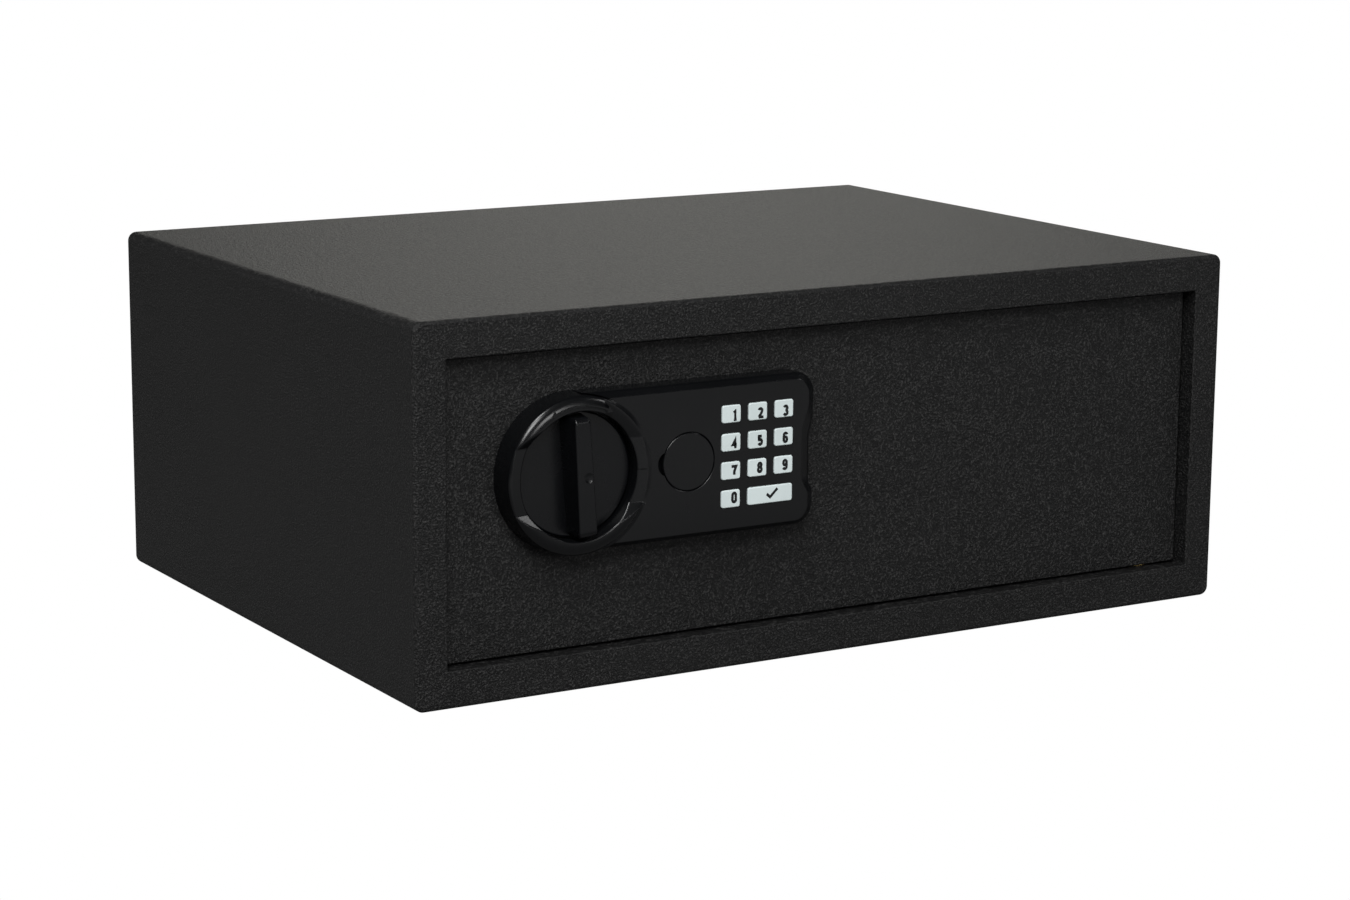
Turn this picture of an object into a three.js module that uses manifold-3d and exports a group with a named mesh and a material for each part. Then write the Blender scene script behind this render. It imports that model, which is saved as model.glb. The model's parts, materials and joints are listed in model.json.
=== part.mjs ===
// Keypad safe: a low, laptop-size steel cabinet with an inset door, a turn knob that throws two lock bolts,
// a plastic panel with eleven keys and an emergency lock, and the mechanism and batteries inside the door.
// Millimetres, +Z up. X runs to the right and the front faces -Y.
// The origin is the centre of the cabinet's underside.

import * as THREE from 'three';
import { mergeVertices } from 'three/addons/utils/BufferGeometryUtils.js';
import Module from 'manifold-3d';

const wasm = await Module();
wasm.setup();

// Cabinet
const cabinetWidth = 450;
const cabinetDepth = 330;
const cabinetHeight = 175;
const sheet = 2;
const cornerRadius = 4.5;
const cornerInside = 2.5;
const frontEdgeRadius = 2;
const frameSide = 16;
const frameTop = 17.5;
const frameBottom = 17.5;
const lipDepth = 26;
const anchorRadius = 5;
const anchorSpacing = 240;
const floorAnchorSetback = 185;
const matThickness = 2.5;
const matMargin = 3;
const matHoleRadius = 9;

// Door
const doorRecess = 7;
const doorThickness = 4;
const doorEdgeRadius = 0.8;
const doorGap = 1.2;
const hingeSideGap = 2.1;
const hingeInset = 19;
const hingeSetback = 4;
const hingePinRadius = 3;
const hingePinLength = 20;
const hingePinReach = 8.5;
const hingeBlockHeight = 14;
const hingeBlockWidth = 12;
const hingeBlockReach = 6;
const washerRadius = 6;
const washerThickness = 0.8;

// Inner cover of the door
const coverDepth = 44;
const coverSheet = 1.5;
const coverInsetLeft = 15.8;
const coverInsetRight = 31.9;
const coverInsetHeight = 10;
const coverFlange = 6;

// Lock panel on the door's face
const dialFromDoorEdge = 62.4;
const dialAboveMiddle = 12.9;
const ringRadius = 37;
const ringDraft = 0.7;
const ringOpening = 29.6;
const ringProud = 14.5;
const ringCrown = 3;
const ringLip = 0.7;
const scoopStart = 12;
const scoopRimDepth = 0.8;
const scoopSlope = 0.25;
const scoopHalfWidth = 15;
const scoopRampRun = 1.6;
const bowlFloor = 3;
const panelProud = 13;
const panelReach = 125.8;
const panelHalfHeight = 36.1;
const panelAboveDial = 0.85;
const panelCorner = 10;
const panelWaist = 2.1;
const panelWaistEnd = 16;
const panelBevel = 3.2;
const panelWall = 2;
const panelScrewInset = 33.5;

// Knob
const dialClearance = 0.6;
const dialThickness = 3;
const dialEdge = 1;
const dialSunk = 8;
const gripWidth = 9.5;
const gripLength = 55;
const gripProud = 18;
const gripLean = 3.5;
const gripEdge = 1;
const shaftRadius = 4;
const bushWall = 2;
const bushFlange = 2;
const camThickness = 4;
const camHubRadius = 8;
const camPinRadius = 2.5;
const camWeb = 2;
const knobTurn = 75;

// Keys
const keyWidth = 11;
const keyHeight = 9.2;
const keyCorner = 1.2;
const keyEdge = 0.4;
const keyPitchX = 14.25;
const keyPitchZ = 13.2;
const keyProud = 0.6;
const keyTravel = 0.8;
const keyFlange = 0.8;
const keyFlangeThickness = 1.2;
const keyStem = 4;
const keyStemLength = 1.4;
const firstKeyFromDial = 78.55;
const keysAboveDial = 1.4;
const padMargin = 2;
const matSkin = 1.5;
const boardThickness = 1.6;

// Emergency lock under the round cap
const capFromDial = 56.3;
const capAboveDial = 1.1;
const capRadius = 13.4;
const capThickness = 1.6;
const capRim = 1.2;
const capRecess = 3.2;
const nailNotch = 5.8;
const nailNotchInset = 2.8;
const cylinderRadius = 9.5;
const cylinderLength = 38.6;
const cylinderNutRadius = 13;
const cylinderNutThickness = 4;
const plugRadius = 6;
const keywayWidth = 1.4;
const keywayHeight = 8.5;
const keywayDepth = 10;
const tailRadius = 3;
const releaseArm = 22;
const releaseHub = 6;
const releaseArmWidth = 10;

// Bolt work
const boltRadius = 8;
const boltSpacing = 54;
const boltSetback = 24.5;
const boltThrow = 15;
const boltTipGap = 5;
const boltLength = 36;
const boltChamfer = 2;
const boltStubRadius = 4;
const carriageThickness = 3;
const carriageSetback = 11;
const carriageLength = 64;
const carriageMargin = 11;
const carriageArmLength = 20;
const carriageArmDrop = 28;
const guideThickness = 2;
const guideFoot = 9;
const guideInset = 3.5;
const studRadius = 3;
const studShoulder = 2;
const studHead = 2.5;
const studFromEnd = 27;

// Solenoid that holds the bolts thrown
const solenoidWidth = 24;
const solenoidHeight = 22;
const plungerRadius = 3;
const plungerLength = 20;
const plungerRise = 3;
const plungerFromDial = 23.4;
const tabWidth = 6.5;
const tabGap = 1;

// Batteries, boards and the reset button
const cellRadius = 7.1;
const cellLength = 49.5;
const cellNub = 2.6;
const cellNubLength = 1;
const cellPitch = 15.4;
const cellCount = 4;
const contactRoom = 3.5;
const boxWall = 1.5;
const batteryFromDial = 148.4;
const batteryCoverLip = 4;
const batteryCoverThickness = 2.2;
const batteryGripDepth = 1.8;
const batteryCoverEdge = 0.1;
const controlWidth = 56;
const controlHeight = 46;
const controlStandoff = 6;
const postRadius = 3;
const postInset = 4;
const controlFromHinge = 72;
const switchHeight = 5.5;
const resetRadius = 2.5;
const resetProud = 1.5;
const resetTravel = 1.5;
const ribbonWidth = 10;
const ribbonThickness = 1;

// Screws
const screwRadius = 1.5;
const screwHeadRadius = 3;
const screwHeadHeight = 1.8;
const panelScrewDepth = 8;
const coverScrewDepth = 1.8;

// Clearances between separate pieces
const seat = 0.2;
const running = 0.3;

// Facets of round and rounded forms
const rodSides = 20;
const screwSides = 12;
const ringSides = 48;
const cornerSteps = 3;
const edgeSteps = 2;

// Places worked out from the sizes above
const left = -cabinetWidth / 2;
const right = cabinetWidth / 2;
const front = -cabinetDepth / 2;
const back = cabinetDepth / 2;
const openLeft = left + frameSide;
const openRight = right - frameSide;
const openBottom = frameBottom;
const openTop = cabinetHeight - frameTop;
const lipBack = front + lipDepth;

const doorFront = front + doorRecess;
const doorBack = doorFront + doorThickness;
const doorLeft = openLeft + doorGap;
const doorRight = openRight - hingeSideGap;
const doorBottom = openBottom + doorGap;
const doorTop = openTop - doorGap;
const doorMiddle = (doorBottom + doorTop) / 2;
const hingeX = doorRight - hingeInset;
const hingeY = doorBack + hingeSetback;

const dialX = doorLeft + dialFromDoorEdge;
const dialZ = doorMiddle + dialAboveMiddle;
const ringFace = doorFront - ringProud;
const panelFace = doorFront - panelProud;
const dialFace = ringFace + dialSunk;
const dialBack = dialFace + dialThickness;
const dialRadius = ringOpening - dialClearance;
const gripFace = doorFront - gripProud;
const capX = dialX + capFromDial;
const capZ = dialZ + capAboveDial;
const panelBottom = dialZ + panelAboveDial - panelHalfHeight;
const panelTop = dialZ + panelAboveDial + panelHalfHeight;
const shaftHole = shaftRadius + running;

const coverLeft = doorLeft + coverInsetLeft;
const coverRight = doorRight - coverInsetRight;
const coverBottom = doorBottom + coverInsetHeight;
const coverTop = doorTop - coverInsetHeight;
const coverBack = doorBack + coverDepth;
const coverInside = coverBack - coverSheet;
const coverFloor = coverBottom + coverSheet;

const firstKeyX = dialX + firstKeyFromDial;
const firstKeyZ = dialZ + keysAboveDial + 1.5 * keyPitchZ;
const keyBack = panelFace + panelWall + seat + keyFlangeThickness + keyStemLength;
const matFront = keyBack + keyTravel + seat;
const boardFront = matFront + matSkin + seat;
const pocketLeft = firstKeyX - keyWidth / 2 - padMargin;
const pocketRight = firstKeyX + 2 * keyPitchX + keyWidth / 2 + padMargin;
const pocketBottom = firstKeyZ - 3 * keyPitchZ - keyHeight / 2 - padMargin;
const pocketTop = firstKeyZ + keyHeight / 2 + padMargin;

const recessFloor = panelFace + capRecess;
const cylinderFront = panelFace + capThickness + 4 * seat;
const cylinderBack = cylinderFront + cylinderLength;
const tailEnd = cylinderBack + camThickness + 2 * seat;

const boltY = doorBack + boltSetback;
const boltTip = openLeft + boltTipGap;
const boltHeel = boltTip + boltLength;
const carriageFront = doorBack + carriageSetback;
const carriageBack = carriageFront + carriageThickness;
const carriageLeft = boltHeel + seat + carriageThickness;
const carriageRight = carriageLeft + carriageLength;
const carriageTop = doorMiddle + boltSpacing / 2 + carriageMargin;
const carriageBottom = doorMiddle - boltSpacing / 2 - carriageMargin;
const carriageStep = dialZ - carriageArmDrop;
const camFront = doorBack + screwHeadHeight + 3 * seat;
const camBack = camFront + camThickness;
const camPinReach = boltThrow / 2 / Math.sin(THREE.MathUtils.degToRad(knobTurn / 2));
const camPinX = dialX + boltThrow / 2;
const camPinZ = dialZ + camPinReach * Math.cos(THREE.MathUtils.degToRad(knobTurn / 2));
const studX = carriageRight - studFromEnd;
const studTopZ = carriageTop - studRadius - studHead;
const studBottomZ = carriageStep + studRadius + studHead;

const plungerX = dialX + plungerFromDial;
const plungerY = (carriageFront + carriageBack) / 2;
const solenoidBottom = coverFloor + seat;
const solenoidTop = solenoidBottom + solenoidHeight;
const plungerTop = solenoidTop + plungerRise;
const tabLeft = plungerX + plungerRadius + tabGap;
const tabBottom = plungerTop + tabGap;

const batteryX = dialX + batteryFromDial;
const batteryZ = doorMiddle;
const batteryHalfX = cellLength / 2 + contactRoom;
const batteryHalfZ = cellCount * cellPitch / 2;
const batteryFloor = coverInside - 2 * cellRadius - boxWall - 3 * seat;
const cellY = coverInside - seat - cellRadius;
const controlX = hingeX - controlWidth / 2 - controlFromHinge / 2;
const controlFront = doorBack + controlStandoff;
const controlBack = controlFront + boardThickness;
const resetEnd = controlBack + switchHeight + resetTravel + seat;
const ribbonLeft = pocketRight - padMargin - ribbonThickness;
const ribbonZ = doorMiddle;

// Finishes
const finish = (color, roughness, metalness) =>
  new THREE.MeshStandardMaterial({ color, roughness, metalness });
const powderBlack = finish(0x242424, 0.75, 0.15);
const plasticBlack = finish(0x1c1d1f, 0.45, 0);
const knobBlack = finish(0x18191b, 0.3, 0);
const keyWhite = finish(0xd8dedf, 0.55, 0);
const zinc = finish(0x9a9c9e, 0.4, 0.9);
const steel = finish(0xb5b7b9, 0.3, 1);
const brass = finish(0xb08d4a, 0.35, 1);
const boardGreen = finish(0x1f5a38, 0.6, 0);
const siliconeGrey = finish(0x4a4c4f, 0.8, 0);
const nylonWhite = finish(0xd9d6cc, 0.6, 0);
const redPlastic = finish(0xb3261e, 0.45, 0);
const cellGold = finish(0x8a7445, 0.35, 0.8);
const ribbonGrey = finish(0x8d9196, 0.6, 0);
const feltGrey = finish(0x3b3b3d, 0.95, 0);

// Solids: geometry to closed solid and back
function signedVolume(points, corners) {
  const [a, b, c] = [new THREE.Vector3(), new THREE.Vector3(), new THREE.Vector3()];
  let volume = 0;
  for (let i = 0; i < corners.length; i += 3) {
    a.fromArray(points, 3 * corners[i]);
    b.fromArray(points, 3 * corners[i + 1]);
    c.fromArray(points, 3 * corners[i + 2]);
    volume += a.dot(b.cross(c)) / 6;
  }
  return volume;
}

function solid(geometry) {
  geometry.deleteAttribute('normal');
  geometry.deleteAttribute('uv');
  const merged = mergeVertices(geometry);
  const points = merged.attributes.position.array;
  const corners = [];
  for (let i = 0; i < merged.index.count; i += 3) {
    const [a, b, c] = merged.index.array.slice(i, i + 3);
    if (a !== b && b !== c && c !== a) corners.push(a, b, c);
  }
  if (signedVolume(points, corners) < 0) corners.reverse();
  const triVerts = new Uint32Array(corners);
  return new wasm.Manifold(new wasm.Mesh({ numProp: 3, vertProperties: points, triVerts }));
}

function piece(name, body, material) {
  const { vertProperties, triVerts } = body.getMesh();
  const geometry = new THREE.BufferGeometry();
  geometry.setAttribute('position', new THREE.BufferAttribute(vertProperties, 3));
  geometry.setIndex(new THREE.BufferAttribute(triVerts, 1));
  geometry.computeVertexNormals();
  const mesh = new THREE.Mesh(geometry, material);
  mesh.name = name;
  return mesh;
}

const join = (...bodies) => bodies.reduce((a, b) => a.add(b));
const cut = (body, ...tools) => tools.reduce((a, b) => a.subtract(b), body);

// Shapes: a block between two corners, a round bar, a turned form, and an outline given thickness
function block([x0, x1], [y0, y1], [z0, z1]) {
  const geometry = new THREE.BoxGeometry(x1 - x0, y1 - y0, z1 - z0);
  geometry.translate((x0 + x1) / 2, (y0 + y1) / 2, (z0 + z1) / 2);
  return solid(geometry);
}

function barX(radius, [x0, x1], y, z) {
  const geometry = new THREE.CylinderGeometry(radius, radius, x1 - x0, rodSides);
  geometry.rotateZ(Math.PI / 2);
  geometry.translate((x0 + x1) / 2, y, z);
  return solid(geometry);
}

function barY(radius, x, [y0, y1], z, sides = rodSides) {
  const geometry = new THREE.CylinderGeometry(radius, radius, y1 - y0, sides);
  geometry.translate(x, (y0 + y1) / 2, z);
  return solid(geometry);
}

function barZ(radius, x, y, [z0, z1]) {
  const geometry = new THREE.CylinderGeometry(radius, radius, z1 - z0, rodSides);
  geometry.rotateX(Math.PI / 2);
  geometry.translate(x, y, (z0 + z1) / 2);
  return solid(geometry);
}

// Turned about an axis along Y through (x, z); the profile is [radius, y] pairs
function turned(profile, x, z, sides = rodSides) {
  const geometry = new THREE.LatheGeometry(profile.map(([r, y]) => new THREE.Vector2(r, y)), sides);
  geometry.translate(x, 0, z);
  return solid(geometry);
}

function roundedOutline([x0, x1], [z0, z1], radius) {
  const shape = new THREE.Shape();
  shape.moveTo(x0 + radius, z0);
  shape.lineTo(x1 - radius, z0);
  shape.absarc(x1 - radius, z0 + radius, radius, -Math.PI / 2, 0);
  shape.lineTo(x1, z1 - radius);
  shape.absarc(x1 - radius, z1 - radius, radius, 0, Math.PI / 2);
  shape.lineTo(x0 + radius, z1);
  shape.absarc(x0 + radius, z1 - radius, radius, Math.PI / 2, Math.PI);
  shape.lineTo(x0, z0 + radius);
  shape.absarc(x0 + radius, z0 + radius, radius, Math.PI, 1.5 * Math.PI);
  return shape;
}

// An outline in X and Z given thickness from y0 back to y1
function slab(shape, [y0, y1], curveSegments = cornerSteps) {
  const geometry = new THREE.ExtrudeGeometry(shape, { depth: y1 - y0, bevelEnabled: false, curveSegments });
  geometry.rotateX(Math.PI / 2);
  geometry.translate(0, y1, 0);
  return solid(geometry);
}

// The same, with its front edge rounded over
function softSlab(shape, [y0, y1], round, curveSegments = cornerSteps, bevelSegments = edgeSteps) {
  const geometry = new THREE.ExtrudeGeometry(shape, {
    depth: y1 - y0,
    curveSegments,
    bevelSize: round,
    bevelThickness: round,
    bevelOffset: -round,
    bevelSegments,
  });
  geometry.rotateX(Math.PI / 2);
  geometry.translate(0, y1 + round, 0);
  const reach = 2 * cabinetWidth;
  return cut(solid(geometry), block([-reach, reach], [y1, y1 + reach], [-reach, reach]));
}

// Cabinet: bent wrap, front frame with its return lip, back panel and mat
function outerWrap() {
  const y = [front + sheet, back - sheet];
  const outer = slab(roundedOutline([left, right], [0, cabinetHeight], cornerRadius), y);
  const inner = slab(
    roundedOutline([left + sheet, right - sheet], [sheet, cabinetHeight - sheet], cornerInside),
    [y[0] - 1, y[1] + 1],
  );
  const anchors = [-1, 1].map((side) =>
    barZ(anchorRadius, side * anchorSpacing / 2, front + floorAnchorSetback, [-sheet, 2 * sheet]));
  return cut(outer, inner, ...anchors);
}

function frontFrame() {
  const outline = roundedOutline([left, right], [0, cabinetHeight], cornerRadius);
  const face = softSlab(outline, [front, front + sheet], frontEdgeRadius);
  const lip = block(
    [openLeft - sheet, openRight + sheet],
    [front + sheet, lipBack],
    [openBottom - sheet, openTop + sheet],
  );
  const opening = block([openLeft, openRight], [front - 1, lipBack + 1], [openBottom, openTop]);
  const pinHole = barZ(hingePinRadius + running, hingeX, hingeY, [0, cabinetHeight]);
  return cut(join(face, lip), opening, pinHole);
}

function backPanel() {
  const outline = roundedOutline([left, right], [0, cabinetHeight], cornerRadius);
  const anchors = [-1, 1].map((side) =>
    barY(anchorRadius, side * anchorSpacing / 2, [back - 2 * sheet, back + sheet], cabinetHeight / 2));
  return cut(slab(outline, [back - sheet, back]), ...anchors);
}

function floorMat() {
  const x = right - sheet - matMargin;
  const mat = block([-x, x], [front + sheet + matMargin, back - sheet - matMargin],
    [sheet + seat, sheet + seat + matThickness]);
  const holes = [-1, 1].map((side) => barZ(
    matHoleRadius,
    side * anchorSpacing / 2,
    front + floorAnchorSetback,
    [0, 2 * sheet + 2 * matThickness],
  ));
  return cut(mat, ...holes);
}

// Hinge: pins welded in blocks on the door, turning in holes in the frame's lip
function hingeBlock(z0) {
  const body = block(
    [hingeX - hingeBlockWidth + hingeBlockReach, hingeX + hingeBlockReach],
    [doorBack + seat, hingeY + hingeBlockReach],
    [z0, z0 + hingeBlockHeight],
  );
  const bore = barZ(hingePinRadius + seat, hingeX, hingeY, [z0 - 1, z0 + hingeBlockHeight + 1]);
  return cut(body, bore);
}

function hingeWasher() {
  const z = openBottom + seat;
  return cut(
    barZ(washerRadius, hingeX, hingeY, [z, z + washerThickness]),
    barZ(hingePinRadius + running, hingeX, hingeY, [z - 1, z + washerThickness + 1]),
  );
}

const panelScrews = () => {
  const ringMiddle = (ringRadius + ringOpening) / 2 * Math.SQRT1_2;
  const farX = dialX + panelReach - panelScrewInset;
  return [
    [dialX - ringMiddle, dialZ + ringMiddle],
    [dialX - ringMiddle, dialZ - ringMiddle],
    [farX, (panelTop + pocketTop) / 2],
    [farX, (panelBottom + pocketBottom) / 2],
  ];
};

const coverScrews = () => {
  const [x0, x1] = [coverLeft - coverFlange / 2, coverRight + coverFlange / 2];
  const [z0, z1] = [coverBottom - coverFlange / 2, coverTop + coverFlange / 2];
  return [[x0, z0], [x0, z1], [x1, z0], [x1, z1]];
};

function doorPlate() {
  const outline = roundedOutline([doorLeft, doorRight], [doorBottom, doorTop], doorEdgeRadius);
  const through = [doorFront - 1, doorBack + 1];
  const ribbonX = [ribbonLeft - running, ribbonLeft + ribbonThickness + running];
  return cut(
    softSlab(outline, [doorFront, doorBack], doorEdgeRadius / 2, 1, 1),
    barY(shaftRadius + bushWall + running, dialX, through, dialZ),
    barY(cylinderRadius + running, capX, through, capZ),
    block(ribbonX, through, [ribbonZ - ribbonWidth / 2 - running, ribbonZ + ribbonWidth / 2 + running]),
    ...panelScrews().map(([x, z]) => barY(screwRadius + running, x, through, z, screwSides)),
    ...coverScrews().map(([x, z]) =>
      barY(screwRadius + running, x, [doorBack - coverScrewDepth - seat, doorBack + 1], z, screwSides)),
  );
}

function doorCover() {
  const x = [coverLeft, coverRight];
  const z = [coverBottom, coverTop];
  const wide = (range, grow) => [range[0] - grow, range[1] + grow];
  const flangeY = [doorBack + seat, doorBack + seat + coverSheet];
  const flange = block(wide(x, coverFlange), flangeY, wide(z, coverFlange));
  const box = block(x, [doorBack + seat, coverBack], z);
  const hollow = block(wide(x, -coverSheet), [doorBack - 1, coverInside], wide(z, -coverSheet));
  const bolts = [-1, 1].map((side) => barX(
    boltRadius + 2 * running,
    [coverLeft - 1, coverLeft + 2 * coverSheet],
    boltY,
    doorMiddle + side * boltSpacing / 2,
  ));
  const batteries = block(
    [batteryX - batteryHalfX, batteryX + batteryHalfX],
    [coverInside - 1, coverBack + 1],
    [batteryZ - batteryHalfZ, batteryZ + batteryHalfZ],
  );
  const reset = barY(resetRadius + running, controlX, [coverInside - 1, coverBack + 1], doorMiddle);
  const screws = coverScrews().map(([sx, sz]) =>
    barY(screwRadius + running, sx, [doorBack - 1, coverBack], sz, screwSides));
  return cut(join(flange, box), hollow, ...bolts, batteries, reset, ...screws);
}

// Panel: bevelled body with a slightly waisted right end, and the ring around the knob
function panelOutline() {
  const [x1, z0, z1] = [dialX + panelReach, panelBottom, panelTop];
  const middle = (z0 + z1) / 2;
  const shape = new THREE.Shape();
  shape.moveTo(dialX, z0);
  shape.lineTo(x1 - panelCorner, z0);
  shape.absarc(x1 - panelCorner, z0 + panelCorner, panelCorner, -Math.PI / 2, 0);
  shape.bezierCurveTo(
    x1, z0 + panelWaistEnd,
    x1 - panelWaist, z0 + panelWaistEnd,
    x1 - panelWaist, middle,
  );
  shape.bezierCurveTo(
    x1 - panelWaist, z1 - panelWaistEnd,
    x1, z1 - panelWaistEnd,
    x1, z1 - panelCorner,
  );
  shape.absarc(x1 - panelCorner, z1 - panelCorner, panelCorner, 0, Math.PI / 2);
  shape.lineTo(dialX, z1);
  return shape;
}

// Finger scoops at nine and three o'clock of the ring: flat floors that sink towards the knob, with ramped ends
function scoops() {
  const floor = scoopRimDepth + scoopSlope * (ringRadius - ringDraft);
  const rise = floor + 1;
  const section = new THREE.Shape();
  section.moveTo(-scoopHalfWidth, ringFace + floor);
  section.lineTo(scoopHalfWidth, ringFace + floor);
  section.lineTo(scoopHalfWidth + scoopRampRun * rise, ringFace + floor - rise);
  section.lineTo(-scoopHalfWidth - scoopRampRun * rise, ringFace + floor - rise);
  const within = barY(ringRadius + seat, dialX, [ringFace - 1, doorFront], dialZ, ringSides);
  const hollows = [0, Math.PI].map((side) => {
    const geometry = new THREE.ExtrudeGeometry(section, { depth: ringRadius, bevelEnabled: false });
    geometry.translate(0, 0, scoopStart);
    geometry.rotateY(Math.PI / 2);
    geometry.applyMatrix4(new THREE.Matrix4().makeShear(-scoopSlope, 0, 0, 0, 0, 0));
    geometry.rotateY(side);
    geometry.translate(dialX, 0, dialZ);
    return solid(geometry).intersect(within);
  });
  return join(...hollows);
}

function keyPlaces() {
  const places = [];
  for (let row = 0; row < 3; row += 1) {
    for (let column = 0; column < 3; column += 1) {
      places.push([`key_${3 * row + column + 1}`, column, column, row]);
    }
  }
  places.push(['key_0', 0, 0, 3], ['key_enter', 1, 2, 3]);
  return places.map(([name, first, last, row]) => ({
    name,
    x: [firstKeyX + first * keyPitchX - keyWidth / 2, firstKeyX + last * keyPitchX + keyWidth / 2],
    z: [firstKeyZ - row * keyPitchZ - keyHeight / 2, firstKeyZ - row * keyPitchZ + keyHeight / 2],
  }));
}

const grown = ([a, b], by) => [a - by, b + by];

function panelHousing() {
  const body = cut(
    softSlab(panelOutline(), [panelFace, doorFront], panelBevel, 2 * cornerSteps, cornerSteps),
    barY(ringRadius - ringCrown, dialX, [panelFace - 1, doorFront + 1], dialZ, ringSides),
  );
  const bowl = dialBack + seat;
  const crown = Array.from({ length: cornerSteps + 1 }, (_, step) => {
    const angle = step / cornerSteps * Math.PI / 2;
    return [
      ringRadius - ringDraft - ringCrown * (1 - Math.cos(angle)),
      ringFace + ringCrown * (1 - Math.sin(angle)),
    ];
  });
  const ring = turned([
    [ringRadius, doorFront],
    ...crown,
    [ringOpening + ringLip, ringFace],
    [ringOpening, ringFace + ringLip],
    [ringOpening, bowl],
    [shaftHole, bowl],
    [shaftHole, doorFront],
    [ringRadius, doorFront],
  ], dialX, dialZ, ringSides);
  const holes = keyPlaces().map(({ x, z }) => slab(
    roundedOutline(grown(x, running), grown(z, running), keyCorner),
    [panelFace - 1, doorFront],
    edgeSteps,
  ));
  const lockHole = barY(cylinderRadius + running, capX, [panelFace - 1, doorFront + 1], capZ);
  const recess = barY(capRadius + running, capX, [panelFace - 1, recessFloor], capZ, ringSides);
  const notch = barY(nailNotch, capX - capRadius + nailNotchInset, [panelFace - 1, recessFloor], capZ);
  const pocket = block(
    [pocketLeft, pocketRight],
    [panelFace + panelWall, doorFront + 1],
    [pocketBottom, pocketTop],
  );
  const screws = panelScrews().map(([x, z]) =>
    barY(screwRadius + seat, x, [doorFront - panelScrewDepth - seat, doorFront + 1], z, screwSides));
  const floorRoom = block(
    [dialX - ringRadius, dialX + ringRadius],
    [doorFront, doorFront + bowlFloor],
    [dialZ - ringRadius, dialZ + ringRadius],
  );
  return cut(join(body, ring), scoops(), ...holes, lockHole, recess, notch, pocket, ...screws, floorRoom);
}

// Keys: rounded cap, flange behind the panel's face and a stem over the rubber mat
function keyCap({ x, z }) {
  const capFront = panelFace - keyProud;
  const flangeFront = panelFace + panelWall + seat;
  const [midX, midZ] = [(x[0] + x[1]) / 2, (z[0] + z[1]) / 2];
  return join(
    softSlab(
      roundedOutline(x, z, keyCorner),
      [capFront, flangeFront + keyFlangeThickness / 2],
      keyEdge,
      edgeSteps,
      1,
    ),
    block(grown(x, keyFlange), [flangeFront, flangeFront + keyFlangeThickness], grown(z, keyFlange)),
    block(grown([midX, midX], keyStem / 2), [flangeFront, keyBack], grown([midZ, midZ], keyStem / 2)),
  );
}

const layer = (y0, thickness) => block(
  grown([pocketLeft, pocketRight], -running),
  [y0, y0 + thickness],
  grown([pocketBottom, pocketTop], -running),
);

// Knob: disc with its tall grip bar, the shaft, and the cam with its drive pin
function dial() {
  const disc = turned([
    [0, dialBack],
    [dialRadius, dialBack],
    [dialRadius, dialFace + dialEdge],
    [dialRadius - dialEdge, dialFace],
    [0, dialFace],
  ], dialX, dialZ, ringSides);
  const outline = roundedOutline(grown([0, 0], gripWidth / 2), grown([0, 0], gripLength / 2), gripWidth / 3);
  const grip = softSlab(outline, [gripFace, dialFace + dialThickness / 2], gripEdge, 2 * edgeSteps)
    .rotate([0, -gripLean, 0])
    .translate([dialX, 0, dialZ]);
  return join(disc, grip);
}

function driveCam() {
  const hub = barY(camHubRadius, dialX, [camFront, camBack], dialZ);
  const webWidth = camPinRadius + camWeb;
  const web = barY(webWidth, camPinX, [camFront, camBack], camPinZ);
  const bridge = new THREE.Shape();
  const tilt = Math.atan2(camPinX - dialX, camPinZ - dialZ);
  const side = [webWidth * Math.cos(tilt), -webWidth * Math.sin(tilt)];
  bridge.moveTo(dialX - side[0], dialZ - side[1]);
  bridge.lineTo(dialX + side[0], dialZ + side[1]);
  bridge.lineTo(camPinX + side[0], camPinZ + side[1]);
  bridge.lineTo(camPinX - side[0], camPinZ - side[1]);
  const pin = barY(camPinRadius, camPinX, [camFront, carriageBack + 1], camPinZ);
  const bore = barY(shaftRadius + seat, dialX, [camFront - 1, camBack + 1], dialZ);
  return cut(join(hub, web, slab(bridge, [camFront, camBack]), pin), bore);
}

function knobBush() {
  const [inner, outer] = [shaftHole, shaftRadius + bushWall];
  return turned([
    [inner, doorFront + seat],
    [outer, doorFront + seat],
    [outer, doorBack + seat],
    [outer + bushFlange, doorBack + seat],
    [outer + bushFlange, doorBack + seat + screwHeadHeight],
    [inner, doorBack + seat + screwHeadHeight],
    [inner, doorFront + seat],
  ], dialX, dialZ);
}

// Emergency lock: snap-in cap, cylinder with its nut, keyed plug and release arm
function overrideCap() {
  const rimOuter = capRadius - capRim;
  return turned([
    [0, panelFace],
    [capRadius - keyEdge, panelFace],
    [capRadius, panelFace + keyEdge],
    [capRadius, panelFace + capThickness],
    [rimOuter, panelFace + capThickness],
    [rimOuter, recessFloor - seat],
    [rimOuter - capRim, recessFloor - seat],
    [rimOuter - capRim, panelFace + capThickness],
    [0, panelFace + capThickness],
  ], capX, capZ, ringSides);
}

function lockCylinder() {
  return cut(
    barY(cylinderRadius, capX, [cylinderFront, cylinderBack], capZ),
    barY(plugRadius + running, capX, [cylinderFront - 1, cylinderBack + 1], capZ),
  );
}

function cylinderNut() {
  const y = [doorBack + seat, doorBack + seat + cylinderNutThickness];
  return cut(
    barY(cylinderNutRadius, capX, y, capZ, 6),
    barY(cylinderRadius + seat, capX, grown(y, 1), capZ),
  );
}

function cylinderPlug() {
  const body = barY(plugRadius, capX, [cylinderFront, cylinderBack], capZ);
  const tail = barY(tailRadius, capX, [cylinderBack - 1, tailEnd], capZ);
  const keyway = block(
    grown([capX, capX], keywayWidth / 2),
    [cylinderFront - 1, cylinderFront + keywayDepth],
    grown([capZ, capZ], keywayHeight / 2),
  );
  return cut(join(body, tail), keyway);
}

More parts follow.
